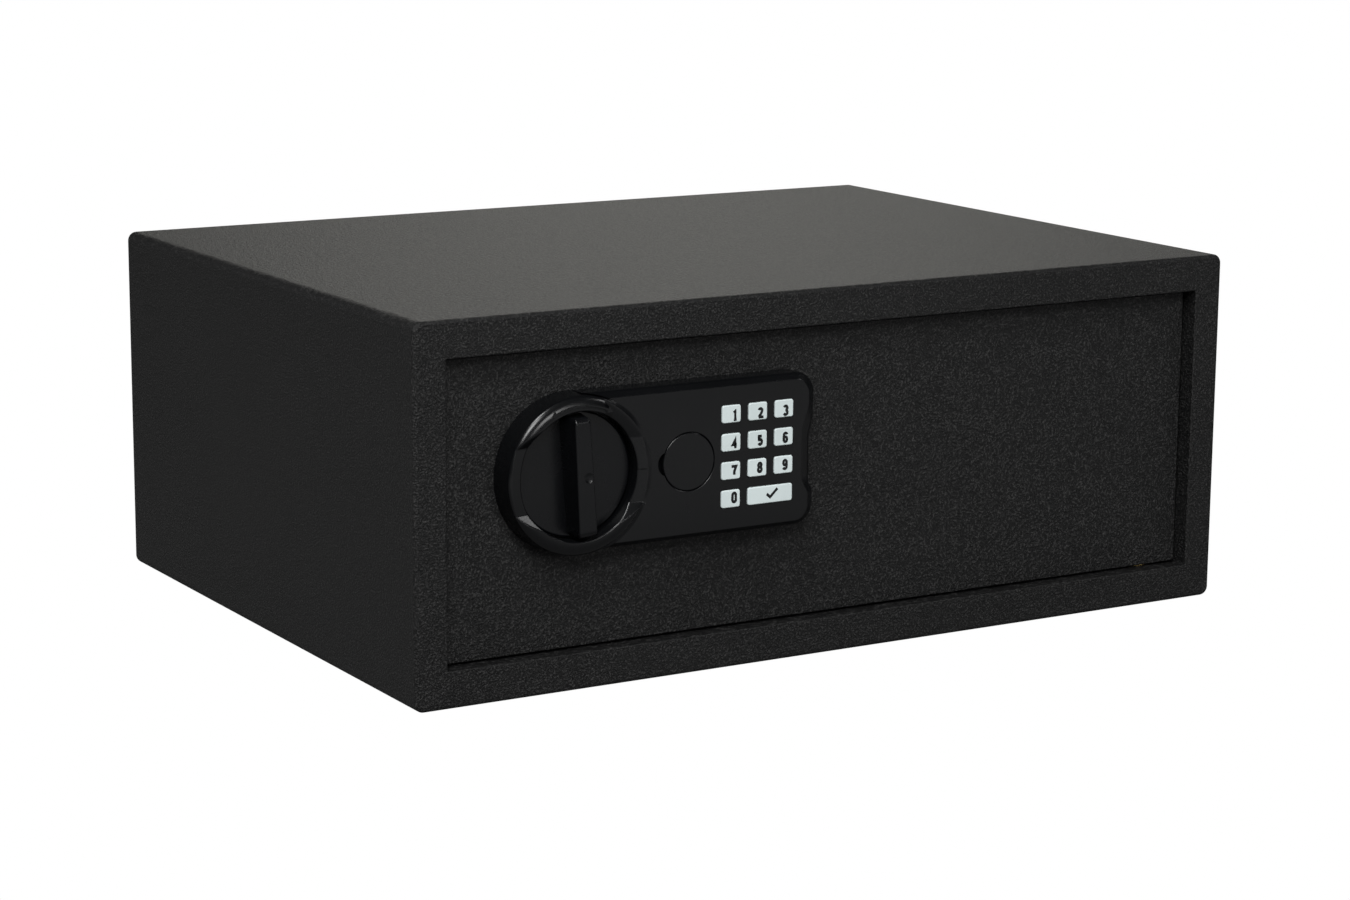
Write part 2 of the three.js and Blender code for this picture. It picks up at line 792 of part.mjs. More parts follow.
function releaseCam() {
  const y = [cylinderBack + seat, cylinderBack + seat + camThickness];
  return cut(
    join(
      barY(releaseHub, capX, y, capZ),
      block(grown([capX, capX], releaseArmWidth / 2), y, [capZ - releaseArm, capZ]),
    ),
    barY(tailRadius + seat, capX, grown(y, 1), capZ),
  );
}

// Bolt work: two round bolts riveted to the flange of a sliding carriage
function lockBolt(z) {
  const geometry = new THREE.LatheGeometry([
    [0, boltTip],
    [boltRadius - boltChamfer, boltTip],
    [boltRadius, boltTip + boltChamfer],
    [boltRadius, boltHeel],
    [boltStubRadius, boltHeel],
    [boltStubRadius, carriageLeft + carriageThickness / 2],
    [0, carriageLeft + carriageThickness / 2],
  ].map(([r, x]) => new THREE.Vector2(r, x)), rodSides);
  geometry.rotateZ(-Math.PI / 2);
  geometry.translate(0, boltY, z);
  return solid(geometry);
}

// Round ends keep a short flat, so that their arcs never meet in one point
const flat = 0.06;
const slot = (x0, x1, z, radius) => slab(
  roundedOutline([x0 - radius, x1 + radius], [z - radius, z + radius], radius - flat),
  [carriageFront - 1, carriageBack + 1],
);

function boltCarriage() {
  const y = [carriageFront, carriageBack];
  const flangeX = [carriageLeft - carriageThickness, carriageLeft];
  const studSlot = studRadius + running;
  const yoke = camPinRadius + 2 * running;
  return cut(
    join(
      block([flangeX[0], carriageLeft + carriageArmLength], y, [carriageBottom, carriageTop]),
      block([flangeX[0], carriageRight], y, [carriageStep, carriageTop]),
      block(flangeX, [carriageFront, boltY + boltRadius + seat], [carriageBottom, carriageTop]),
      block([tabLeft, tabLeft + tabWidth], y, [tabBottom, carriageStep + carriageThickness]),
    ),
    ...[-1, 1].map((side) => barX(
      boltStubRadius + seat,
      grown(flangeX, 1),
      boltY,
      doorMiddle + side * boltSpacing / 2,
    )),
    slot(studX, studX + boltThrow, studTopZ, studSlot),
    slot(studX, studX + boltThrow, studBottomZ, studSlot),
    slab(
      roundedOutline(
        grown([camPinX, camPinX], yoke),
        [camPinZ - yoke, dialZ + camPinReach + yoke],
        yoke - flat,
      ),
      grown(y, 1),
    ),
  );
}

function boltGuide() {
  const x0 = coverLeft + coverSheet + guideInset;
  const z = grown([carriageBottom, carriageTop], guideInset);
  return cut(
    join(
      block([x0, x0 + guideThickness], [doorBack + seat, boltY + boltRadius + guideThickness], z),
      block([x0, x0 + guideFoot], [doorBack + seat, doorBack + seat + guideThickness], z),
    ),
    ...[-1, 1].map((side) => barX(
      boltRadius + running,
      [x0 - 1, x0 + guideThickness + 1],
      boltY,
      doorMiddle + side * boltSpacing / 2,
    )),
  );
}

// Shouldered stud on the door that a slot of the carriage slides along
function carriageStud(z) {
  const head = studRadius + studHead;
  return turned([
    [0, doorBack + seat],
    [studRadius + studShoulder, doorBack + seat],
    [studRadius + studShoulder, carriageFront - seat],
    [studRadius, carriageFront - seat],
    [studRadius, carriageBack + seat],
    [head, carriageBack + seat],
    [head, carriageBack + seat + studShoulder],
    [0, carriageBack + seat + studShoulder],
  ], studX, z);
}

function solenoidBody() {
  return cut(
    block(
      grown([plungerX, plungerX], solenoidWidth / 2),
      [doorBack + seat, plungerY + solenoidWidth / 2 - seat],
      [solenoidBottom, solenoidTop],
    ),
    barZ(plungerRadius + running, plungerX, plungerY, [plungerTop - plungerLength - 1, solenoidTop + 1]),
  );
}

// Batteries in their box on the inner cover
function batteryBox() {
  const x = grown([batteryX, batteryX], batteryHalfX);
  const z = grown([batteryZ, batteryZ], batteryHalfZ);
  return cut(
    block(grown(x, boxWall), [batteryFloor, coverInside - seat], grown(z, boxWall)),
    block(x, [batteryFloor + boxWall, coverInside + 1], z),
  );
}

function cell(row) {
  const flip = row % 2 === 0 ? 1 : -1;
  const half = cellLength / 2;
  const geometry = new THREE.LatheGeometry([
    [0, -half],
    [cellRadius, -half],
    [cellRadius, half - cellNubLength],
    [cellNub, half - cellNubLength],
    [cellNub, half],
    [0, half],
  ].map(([r, x]) => new THREE.Vector2(r, x)), rodSides);
  geometry.rotateZ(-flip * Math.PI / 2);
  geometry.translate(batteryX, cellY, batteryZ - batteryHalfZ + (row + 0.5) * cellPitch);
  return solid(geometry);
}

function batteryCover() {
  const y = [coverBack + seat, coverBack + seat + batteryCoverThickness];
  const x = grown([batteryX, batteryX], batteryHalfX + batteryCoverLip);
  const z = grown([batteryZ, batteryZ], batteryHalfZ + batteryCoverLip);
  const grip = block(
    grown([batteryX, batteryX], batteryHalfX / 3),
    [y[0] + batteryCoverThickness / 2, y[1] + batteryGripDepth],
    [z[1] - 3 * batteryCoverLip, z[1] - 2 * batteryCoverLip],
  );
  return join(softSlab(roundedOutline(x, z, batteryCoverLip), y, batteryCoverEdge), grip);
}

// Control board on four posts, with its switch under the reset button, and the ribbon to the keypad
function controlBoard() {
  const x = grown([controlX, controlX], controlWidth / 2);
  const z = grown([doorMiddle, doorMiddle], controlHeight / 2);
  const posts = [-1, 1].flatMap((sx) => [-1, 1].map((sz) => barY(
    postRadius,
    controlX + sx * (controlWidth / 2 - postInset),
    [doorBack + seat, controlBack],
    doorMiddle + sz * (controlHeight / 2 - postInset),
  )));
  const [near, far] = [x[0] + postRadius, x[0] + 3 * postRadius];
  return join(
    block(x, [controlFront, controlBack], z),
    ...posts,
    block(
      grown([controlX, controlX], postRadius),
      [controlFront, controlBack + switchHeight],
      grown([doorMiddle, doorMiddle], postRadius),
    ),
    block(
      [near, far],
      [controlFront, controlBack + postRadius],
      grown([doorMiddle, doorMiddle], 2 * postRadius),
    ),
  );
}

function ribbonCable() {
  const run = controlFront - 2 * ribbonThickness - seat;
  const end = controlX - controlWidth / 2 + ribbonWidth;
  const outline = new THREE.Shape([
    [ribbonLeft, boardFront + boardThickness + seat],
    [ribbonLeft + ribbonThickness, boardFront + boardThickness + seat],
    [ribbonLeft + ribbonThickness, run],
    [end, run],
    [end, controlFront - seat],
    [end - ribbonThickness, controlFront - seat],
    [end - ribbonThickness, run + ribbonThickness],
    [ribbonLeft, run + ribbonThickness],
  ].map(([x, y]) => new THREE.Vector2(x, y)));
  const geometry = new THREE.ExtrudeGeometry(outline, { depth: ribbonWidth, bevelEnabled: false });
  geometry.translate(0, 0, ribbonZ - ribbonWidth / 2);
  return solid(geometry);
}

function resetButton() {
  const collar = coverInside - seat;
  return turned([
    [0, resetEnd],
    [resetRadius, resetEnd],
    [resetRadius, collar - coverSheet],
    [resetRadius + 1, collar - coverSheet],
    [resetRadius + 1, collar],
    [resetRadius, collar],
    [resetRadius, coverBack + resetProud],
    [0, coverBack + resetProud],
  ], controlX, doorMiddle);
}

// A pan-head screw whose head bears at y and whose shank points to the front
function screw(x, y, z, length) {
  return turned([
    [0, y - length],
    [screwRadius, y - length],
    [screwRadius, y],
    [screwHeadRadius, y],
    [screwHeadRadius, y + 0.6 * screwHeadHeight],
    [screwHeadRadius - 1, y + screwHeadHeight],
    [0, y + screwHeadHeight],
  ], x, z, screwSides);
}

// Assembly
const cabinet = new THREE.Group();
cabinet.add(
  piece('outer_wrap', outerWrap(), powderBlack),
  piece('front_frame', frontFrame(), powderBlack),
  piece('back_panel', backPanel(), powderBlack),
  piece('floor_mat', floorMat(), feltGrey),
  piece('hinge_washer', hingeWasher(), brass),
);

const hinge = new THREE.Group();
hinge.add(
  piece('hinge_block_top', hingeBlock(doorTop - hingeBlockHeight), zinc),
  piece('hinge_block_bottom', hingeBlock(doorBottom), zinc),
  piece('hinge_pin_top', barZ(hingePinRadius, hingeX, hingeY,
    [doorTop + hingePinReach - hingePinLength, doorTop + hingePinReach]), steel),
  piece('hinge_pin_bottom', barZ(hingePinRadius, hingeX, hingeY,
    [doorBottom - hingePinReach, doorBottom - hingePinReach + hingePinLength]), steel),
);

const panel = new THREE.Group();
panel.add(
  piece('panel_housing', panelHousing(), plasticBlack),
  piece('key_mat', layer(matFront, matSkin), siliconeGrey),
  piece('keypad_board', layer(boardFront, boardThickness), boardGreen),
  ...keyPlaces().map((place) => piece(place.name, keyCap(place), keyWhite)),
  ...panelScrews().map(([x, z], i) =>
    piece(`panel_screw_${i + 1}`, screw(x, doorBack + seat, z, doorThickness + panelScrewDepth), steel)),
);

const lock = new THREE.Group();
lock.add(
  piece('override_cap', overrideCap(), plasticBlack),
  piece('lock_cylinder', lockCylinder(), brass),
  piece('cylinder_nut', cylinderNut(), zinc),
  piece('cylinder_plug', cylinderPlug(), brass),
  piece('release_cam', releaseCam(), zinc),
);

const knob = new THREE.Group();
knob.add(
  piece('dial', dial(), knobBlack),
  piece('dial_shaft', barY(shaftRadius, dialX, [dialBack + seat, camBack + 1], dialZ), steel),
  piece('drive_cam', driveCam(), zinc),
);

const boltWork = new THREE.Group();
boltWork.add(
  piece('knob_bush', knobBush(), nylonWhite),
  piece('bolt_carriage', boltCarriage(), zinc),
  piece('lock_bolt_upper', lockBolt(doorMiddle + boltSpacing / 2), steel),
  piece('lock_bolt_lower', lockBolt(doorMiddle - boltSpacing / 2), steel),
  piece('bolt_guide', boltGuide(), zinc),
  piece('carriage_stud_upper', carriageStud(studTopZ), steel),
  piece('carriage_stud_lower', carriageStud(studBottomZ), steel),
  piece('solenoid_body', solenoidBody(), zinc),
  piece(
    'solenoid_plunger',
    barZ(plungerRadius, plungerX, plungerY, [plungerTop - plungerLength, plungerTop]),
    steel,
  ),
);

const electrics = new THREE.Group();
electrics.add(
  piece('battery_box', batteryBox(), plasticBlack),
  ...Array.from({ length: cellCount }, (_, row) => piece(`cell_${row + 1}`, cell(row), cellGold)),
  piece('battery_cover', batteryCover(), plasticBlack),
  piece('control_board', controlBoard(), boardGreen),
  piece('ribbon_cable', ribbonCable(), ribbonGrey),
  piece('reset_button', resetButton(), redPlastic),
);

const door = new THREE.Group();
door.add(
  piece('door_plate', doorPlate(), powderBlack),
  piece('door_cover', doorCover(), powderBlack),
  ...coverScrews().map(([x, z], i) => piece(
    `cover_screw_${i + 1}`,
    screw(x, doorBack + 2 * seat + coverSheet, z, coverSheet + seat + coverScrewDepth),
    steel,
  )),
  hinge,
  panel,
  lock,
  knob,
  boltWork,
  electrics,
);

const safe = new THREE.Group();
safe.add(cabinet, door);

export default safe;
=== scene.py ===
# Looks of the keypad safe: powder-coated steel, black panel, ring and knob, pale keys, and the inside
# Lengths are in metres. The frame's axes are X right, Y to the back, Z up; the front faces -Y.
import json
import math

import bmesh
import bpy
from mathutils import Matrix, Vector


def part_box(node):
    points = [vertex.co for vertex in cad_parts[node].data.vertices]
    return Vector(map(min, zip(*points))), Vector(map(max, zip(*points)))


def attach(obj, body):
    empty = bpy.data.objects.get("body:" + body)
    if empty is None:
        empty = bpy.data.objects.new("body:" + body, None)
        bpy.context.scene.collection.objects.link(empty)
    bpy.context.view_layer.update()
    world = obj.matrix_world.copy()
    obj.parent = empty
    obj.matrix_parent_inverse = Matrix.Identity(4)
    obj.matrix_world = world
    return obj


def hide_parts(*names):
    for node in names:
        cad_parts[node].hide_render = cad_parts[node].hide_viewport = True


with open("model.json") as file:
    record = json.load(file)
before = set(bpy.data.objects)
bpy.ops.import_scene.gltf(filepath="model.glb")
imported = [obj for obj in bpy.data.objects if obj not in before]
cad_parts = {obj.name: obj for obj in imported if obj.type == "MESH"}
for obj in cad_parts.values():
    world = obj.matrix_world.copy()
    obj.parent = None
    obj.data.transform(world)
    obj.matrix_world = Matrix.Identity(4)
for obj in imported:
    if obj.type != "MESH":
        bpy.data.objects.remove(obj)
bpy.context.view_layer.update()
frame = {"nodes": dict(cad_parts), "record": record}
nodes = frame["nodes"]
MM = 0.001


def middle(node):
    low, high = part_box(node)
    return (Vector(low) + Vector(high)) / 2


# Places and sizes taken from the frame, that the drawn forms are set out from
SHAFT = middle("dial_shaft")
PANEL_LOW, PANEL_HIGH = (Vector(c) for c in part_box("panel_housing"))
CAP_LOW, CAP_HIGH = (Vector(c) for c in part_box("override_cap"))
DIAL_LOW, DIAL_HIGH = (Vector(c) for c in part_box("dial"))
CAP_CENTRE = (CAP_LOW + CAP_HIGH) / 2
CAP_RADIUS = (CAP_HIGH.x - CAP_LOW.x) / 2
DIAL_RADIUS = (DIAL_HIGH.x - DIAL_LOW.x) / 2
DOOR_FACE = Vector(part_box("door_plate")[0]).y
PANEL_FACE = CAP_LOW.y
RING_FACE = PANEL_LOW.y


# Materials
def new_material(name):
    material = bpy.data.materials.new(name)
    material.use_nodes = True
    tree = material.node_tree
    return material, tree, tree.nodes["Principled BSDF"]


def add(tree, kind, **settings):
    node = tree.nodes.new(kind)
    for key, value in settings.items():
        setattr(node, key, value)
    return node


def noise(tree, scale, detail=2.0, roughness=0.5):
    place = add(tree, "ShaderNodeTexCoord")
    node = add(tree, "ShaderNodeTexNoise")
    node.inputs["Scale"].default_value = scale
    node.inputs["Detail"].default_value = detail
    node.inputs["Roughness"].default_value = roughness
    tree.links.new(place.outputs["Object"], node.inputs["Vector"])
    return node.outputs["Fac"]


def ramp(tree, source, stops):
    """Colours by source; stops is (position, colour) pairs."""
    node = add(tree, "ShaderNodeValToRGB")
    while len(node.color_ramp.elements) < len(stops):
        node.color_ramp.elements.new(0.5)
    for element, (position, colour) in zip(node.color_ramp.elements, stops):
        element.position = position
        element.color = (*colour, 1.0)
    tree.links.new(source, node.inputs["Fac"])
    return node.outputs["Color"]


def times(tree, one, other):
    """The product of two colours."""
    node = add(tree, "ShaderNodeMix", data_type="RGBA", blend_type="MULTIPLY")
    node.inputs[0].default_value = 1.0
    tree.links.new(one, node.inputs[6])
    tree.links.new(other, node.inputs[7])
    return node.outputs[2]


def bump(tree, shader, heights):
    """heights is (source, strength, distance) from the coarsest to the finest."""
    previous = None
    for source, strength, distance in heights:
        node = add(tree, "ShaderNodeBump")
        node.inputs["Strength"].default_value = strength
        node.inputs["Distance"].default_value = distance
        tree.links.new(source, node.inputs["Height"])
        if previous is not None:
            tree.links.new(previous, node.inputs["Normal"])
        previous = node.outputs["Normal"]
    tree.links.new(previous, shader.inputs["Normal"])


def grey(value):
    return (value, value, value)


def powder_coat():
    """Fine-textured black powder coat: pebbled bump, coarser where it lay flat, with lighter peaks that are
    painted glints of light on the pebbles.
    """
    material, tree, shader = new_material("powder_coat")
    grain = noise(tree, 2100.0, 2.0, 0.6)
    fine = noise(tree, 1080.0, 2.0, 0.6)
    coarse = noise(tree, 480.0, 3.0, 0.7)
    facing = add(tree, "ShaderNodeNewGeometry")
    upward = add(tree, "ShaderNodeSeparateXYZ")
    tree.links.new(facing.outputs["Normal"], upward.inputs["Vector"])
    blend = add(tree, "ShaderNodeMix", data_type="FLOAT")
    tree.links.new(upward.outputs["Z"], blend.inputs[0])
    tree.links.new(fine, blend.inputs[2])
    tree.links.new(coarse, blend.inputs[3])
    pebble = blend.outputs[0]
    cloud = noise(tree, 9.0, 2.0)
    # Colour follows the pebble's height: near-black grain between the pebbles, and pale peaks that are
    # painted glints standing in for sparkle.
    grain_and_glints = ramp(tree, pebble, [
        (0.40, (0.0022, 0.0022, 0.0023)),
        (0.54, (0.0056, 0.0057, 0.0058)),
        (0.67, (0.031, 0.0308, 0.0303)),
    ])
    shading = ramp(tree, cloud, [(0.3, grey(0.86)), (0.7, grey(1.0))])
    tree.links.new(times(tree, grain_and_glints, shading), shader.inputs["Base Color"])
    dull = ramp(tree, grain, [(0.3, grey(0.62)), (0.7, grey(0.44))])
    tree.links.new(dull, shader.inputs["Roughness"])
    shader.inputs["Specular IOR Level"].default_value = 0.21
    bump(tree, shader, [(pebble, 1.0, 0.0009), (grain, 0.8, 0.0002)])
    return material


def moulded_plastic(name, colour, roughness, grain_scale=2600.0, grain_strength=0.12, specular=0.5):
    """Moulded plastic: almost flat colour, faint flow marks and a fine mould grain."""
    material, tree, shader = new_material(name)
    flow = noise(tree, 40.0, 3.0)
    grain = noise(tree, grain_scale, 2.0)
    dark = tuple(c * 0.9 for c in colour)
    tree.links.new(ramp(tree, flow, [(0.3, dark), (0.7, colour)]), shader.inputs["Base Color"])
    spread = ramp(tree, flow, [(0.3, grey(roughness - 0.04)), (0.7, grey(roughness + 0.04))])
    tree.links.new(spread, shader.inputs["Roughness"])
    shader.inputs["Specular IOR Level"].default_value = specular
    bump(tree, shader, [(grain, grain_strength, 0.0001)])
    return material


def worked_metal(name, colour, roughness):
    """Bare or plated metal with fine working marks and a faint stain."""
    material, tree, shader = new_material(name)
    marks = noise(tree, 900.0, 3.0)
    stain = noise(tree, 60.0, 3.0)
    dark = tuple(c * 0.8 for c in colour)
    tree.links.new(ramp(tree, stain, [(0.3, dark), (0.7, colour)]), shader.inputs["Base Color"])
    spread = ramp(tree, marks, [(0.3, grey(roughness - 0.06)), (0.7, grey(roughness + 0.08))])
    tree.links.new(spread, shader.inputs["Roughness"])
    shader.inputs["Metallic"].default_value = 1.0
    bump(tree, shader, [(marks, 0.15, 0.0001)])
    return material


def felt():
    """Dark needle felt: short fibres in loose patches, with a little sheen."""
    material, tree, shader = new_material("felt")
    fibre = noise(tree, 2200.0, 4.0, 0.75)
    patch = noise(tree, 70.0, 3.0)
    fibres = ramp(tree, fibre, [(0.3, (0.016, 0.016, 0.018)), (0.7, (0.075, 0.075, 0.08))])
    patches = ramp(tree, patch, [(0.3, grey(0.8)), (0.7, grey(1.0))])
    tree.links.new(times(tree, fibres, patches), shader.inputs["Base Color"])
    shader.inputs["Roughness"].default_value = 0.97
    shader.inputs["Sheen Weight"].default_value = 0.3
    bump(tree, shader, [(patch, 0.3, 0.001), (fibre, 0.8, 0.0004)])
    return material


def circuit_board():
    """Green solder mask with paler copper runs under it."""
    material, tree, shader = new_material("circuit_board")
    runs = add(tree, "ShaderNodeTexBrick")
    runs.inputs["Scale"].default_value = 260.0
    runs.inputs["Mortar Size"].default_value = 0.03
    runs.inputs["Color1"].default_value = (0.010, 0.085, 0.035, 1.0)
    runs.inputs["Color2"].default_value = (0.012, 0.10, 0.042, 1.0)
    runs.inputs["Mortar"].default_value = (0.03, 0.19, 0.075, 1.0)
    place = add(tree, "ShaderNodeTexCoord")
    turn = add(tree, "ShaderNodeMapping")
    turn.inputs["Rotation"].default_value = (math.pi / 2, 0.0, 0.0)
    tree.links.new(place.outputs["Object"], turn.inputs["Vector"])
    tree.links.new(turn.outputs["Vector"], runs.inputs["Vector"])
    tree.links.new(runs.outputs["Color"], shader.inputs["Base Color"])
    shader.inputs["Roughness"].default_value = 0.35
    bump(tree, shader, [(runs.outputs["Fac"], 0.2, 0.0001)])
    return material


POWDER = powder_coat()
PANEL = moulded_plastic("panel_plastic", (0.0022, 0.0024, 0.0028), 0.25, 2200.0, 0.04, 0.27)
KNOB = moulded_plastic("knob_plastic", (0.0020, 0.0022, 0.0027), 0.27, 1800.0, 0.03, 0.24)
KEY = moulded_plastic("key_plastic", (0.53, 0.595, 0.595), 0.45, 1800.0, 0.05)
INK = moulded_plastic("digit_ink", (0.004, 0.0045, 0.005), 0.5, 1800.0, 0.05, 0.25)

SLOT_LOOKS = {
    "powder_coat": POWDER,
    "panel_plastic": PANEL,
    "knob_plastic": KNOB,
    "key_plastic": KEY,
    "silicone": moulded_plastic("silicone", (0.07, 0.07, 0.074), 0.7),
    "nylon": moulded_plastic("nylon", (0.62, 0.60, 0.54), 0.45),
    "red_plastic": moulded_plastic("red_plastic", (0.42, 0.02, 0.015), 0.32),
    "battery_wrap": moulded_plastic("battery_wrap", (0.20, 0.13, 0.045), 0.28, 900.0, 0.03),
    "ribbon": moulded_plastic("ribbon", (0.26, 0.28, 0.30), 0.5),
    "zinc_plate": worked_metal("zinc_plate", (0.50, 0.51, 0.52), 0.36),
    "steel": worked_metal("steel", (0.60, 0.61, 0.62), 0.24),
    "brass": worked_metal("brass", (0.58, 0.42, 0.17), 0.28),
    "felt": felt(),
    "circuit_board": circuit_board(),
}

for part in frame["record"]["subparts"]:
    carried = nodes[part["node"]]
    carried.data.materials.clear()
    carried.data.materials.append(SLOT_LOOKS[part["material_slot"]])


# Outlines and skins
def circle(x, z, radius, sides):
    turn = [math.tau * i / sides for i in range(sides)]
    return [(x + radius * math.cos(a), z + radius * math.sin(a)) for a in turn]


def rounded_rect(x0, x1, z0, z1, radius, steps=8):
    """Corner arcs of a rectangle in X and Z, anticlockwise from the lower right."""
    corners = [
        (x1 - radius, z0 + radius, -90), (x1 - radius, z1 - radius, 0),
        (x0 + radius, z1 - radius, 90), (x0 + radius, z0 + radius, 180),
    ]
    outline = []
    for cx, cz, start in corners:
        for i in range(steps + 1):
            angle = math.radians(start + 90 * i / steps)
            outline.append((cx + radius * math.cos(angle), cz + radius * math.sin(angle)))
    return outline


def at_depth(outline, y):
    return [Vector((x, y, z)) for x, z in outline]


def quarter(steps):
    """Pairs (how far in, how far back) of a rounded edge, from the face to the side."""
    turn = [math.pi / 2 * i / steps for i in range(steps + 1)]
    return [(1 - math.sin(a), 1 - math.cos(a)) for a in turn]


def skin(loops, close=False, start_cap=True, end_cap=True):
    """Quads between loops of equal length; the first and last loop are capped, or joined when closed."""
    points = [p for loop in loops for p in loop]
    count = len(loops[0])
    faces = []
    spans = len(loops) if close else len(loops) - 1
    for i in range(spans):
        here, there = i * count, (i + 1) % len(loops) * count
        for k in range(count):
            after = (k + 1) % count
            faces.append((here + k, here + after, there + after, there + k))
    if not close and start_cap:
        faces.append(tuple(reversed(range(count))))
    if not close and end_cap:
        last = (len(loops) - 1) * count
        faces.append(tuple(last + k for k in range(count)))
    return points, faces


def join(points, faces, more_points, more_faces):
    """Adds a second skin to the points and faces of a first."""
    shift = len(points)
    points += more_points
    faces += [tuple(shift + k for k in corners) for corners in more_faces]


# Pieces and cutters
def weigh(piece):
    """Flat faces keep their own shading next to rounded edges."""
    weighted = piece.modifiers.new("weighted_normals", "WEIGHTED_NORMAL")
    weighted.keep_sharp = True
    weighted.weight = 90


def place_piece(name, points, faces, material, body, replaced=(), sharp=35.0):
    """A new piece from points and faces, smooth where faces meet at less than the sharp angle."""
    mesh = bpy.data.meshes.new(name)
    mesh.from_pydata([tuple(p) for p in points], [], faces)
    body_mesh = bmesh.new()
    body_mesh.from_mesh(mesh)
    bmesh.ops.remove_doubles(body_mesh, verts=body_mesh.verts, dist=1e-7)
    bmesh.ops.recalc_face_normals(body_mesh, faces=body_mesh.faces)
    body_mesh.to_mesh(mesh)
    body_mesh.free()
    mesh.shade_smooth()
    mesh.set_sharp_from_angle(angle=math.radians(sharp))
    mesh.materials.append(material)
    piece = bpy.data.objects.new(name, mesh)
    bpy.context.collection.objects.link(piece)
    weigh(piece)
    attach(piece, body)
    if replaced:
        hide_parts(*replaced)
    return piece


def as_cutter(points, faces):
    """A closed hidden shape that drill() takes."""
    shape = bmesh.new()
    corners = [shape.verts.new(p) for p in points]
    for face in faces:
        shape.faces.new([corners[i] for i in face])
    bmesh.ops.recalc_face_normals(shape, faces=shape.faces)
    return shape


def round_cutter(x, z, radius, depths, sides):
    outline = circle(x, z, radius, sides)
    return as_cutter(*skin([at_depth(outline, y) for y in depths]))


def cutter_bar(radius, start, end):
    """A hidden round bar from start to end, for holes in any direction."""
    axis = Vector(end) - Vector(start)
    spin = axis.to_track_quat("Z", "Y").to_matrix().to_4x4()
    shift = Matrix.Translation((Vector(start) + Vector(end)) / 2)
    bar = bmesh.new()
    bmesh.ops.create_cone(bar, cap_ends=True, segments=48, radius1=radius, radius2=radius,
                          depth=axis.length, matrix=shift @ spin)
    return bar


def apply_modifier(piece, modifier):
    with bpy.context.temp_override(object=piece, active_object=piece, selected_objects=[piece]):
        bpy.ops.object.modifier_move_to_index(modifier=modifier.name, index=0)
        bpy.ops.object.modifier_apply(modifier=modifier.name)


def drill(piece, cutters):
    """Cuts the cutters out of the piece's mesh and drops them."""
    for cutter in cutters:
        mesh = bpy.data.meshes.new("drill")
        cutter.to_mesh(mesh)
        cutter.free()
        tool = bpy.data.objects.new("drill", mesh)
        bpy.context.collection.objects.link(tool)
        hole = piece.modifiers.new("hole", "BOOLEAN")
        hole.operation = "DIFFERENCE"
        hole.solver = "EXACT"
        hole.object = tool
        apply_modifier(piece, hole)
        bpy.data.objects.remove(tool)


# Cabinet shell: one skin of bent sheet with rounded edges, inside and out
SHEET = 2.0 * MM
FRONT_EDGE = 2.0 * MM
BACK_EDGE = 1.5 * MM
OUTER_CORNER = 4.5 * MM
LEAST_CORNER = 0.3 * MM
FRAME_SIDE = 16.0 * MM
FRAME_BORDER = 17.5 * MM
OPENING_EDGE = 0.7 * MM
OPENING_CORNER = 0.6 * MM
LIP_DEPTH = 26.0 * MM
BACK_MIDDLE_HALF = 20.0 * MM
BACK_MIDDLE_CORNER = 1.0 * MM
ANCHOR_RADIUS = 5.0 * MM
ANCHOR_REACH = 120.0 * MM
FLOOR_ANCHOR_DEPTH = 185.0 * MM
PIN_HOLE_RADIUS = 3.3 * MM


def cabinet_shell():
    x, _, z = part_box("outer_wrap")[1]
    front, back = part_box("front_frame")[0][1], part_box("back_panel")[1][1]

    def outer(inset, y):
        corner = max(OUTER_CORNER - inset, LEAST_CORNER)
        return at_depth(rounded_rect(-x + inset, x - inset, inset, z - inset, corner), y)

    def opening(grow, y):
        side, border = FRAME_SIDE - grow, FRAME_BORDER - grow
        return at_depth(rounded_rect(-x + side, x - side, border, z - border, OPENING_CORNER + grow), y)

    loops = [opening(0, front + LIP_DEPTH)]
    for inward, deep in reversed(quarter(4)):
        loops.append(opening(OPENING_EDGE * inward, front + OPENING_EDGE * deep))
    for inward, deep in quarter(8):
        loops.append(outer(FRONT_EDGE * inward, front + FRONT_EDGE * deep))
    for inward, deep in reversed(quarter(6)):
        loops.append(outer(BACK_EDGE * inward, back - BACK_EDGE * deep))
    half = BACK_MIDDLE_HALF
    loops.append(at_depth(rounded_rect(-half, half, z / 2 - half, z / 2 + half, BACK_MIDDLE_CORNER), back))
    points, faces = skin(loops, start_cap=False)
    inner_points, inner_faces = skin([
        opening(0, front + LIP_DEPTH),
        opening(SHEET, front + LIP_DEPTH),
        opening(SHEET, front + SHEET),
        outer(SHEET, front + SHEET),
        outer(SHEET, back - SHEET),
    ], start_cap=False)
    join(points, faces, inner_points, [tuple(reversed(corners)) for corners in inner_faces])
    shell = place_piece("cabinet_shell", points, faces, POWDER, "cabinet",
                        ("outer_wrap", "front_frame", "back_panel"))
    bars = []
    for side in (-ANCHOR_REACH, ANCHOR_REACH):
        bars.append(cutter_bar(ANCHOR_RADIUS, (side, back - 3 * SHEET, z / 2), (side, back + SHEET, z / 2)))
        depth = front + FLOOR_ANCHOR_DEPTH
        bars.append(cutter_bar(ANCHOR_RADIUS, (side, depth, -SHEET), (side, depth, 2 * SHEET)))
    hinge = middle("hinge_pin_top")
    for low in (FRAME_BORDER - 2 * SHEET, z - FRAME_BORDER - SHEET):
        high = low + 3 * SHEET
        bars.append(cutter_bar(PIN_HOLE_RADIUS, (hinge.x, hinge.y, low), (hinge.x, hinge.y, high)))
    drill(shell, bars)


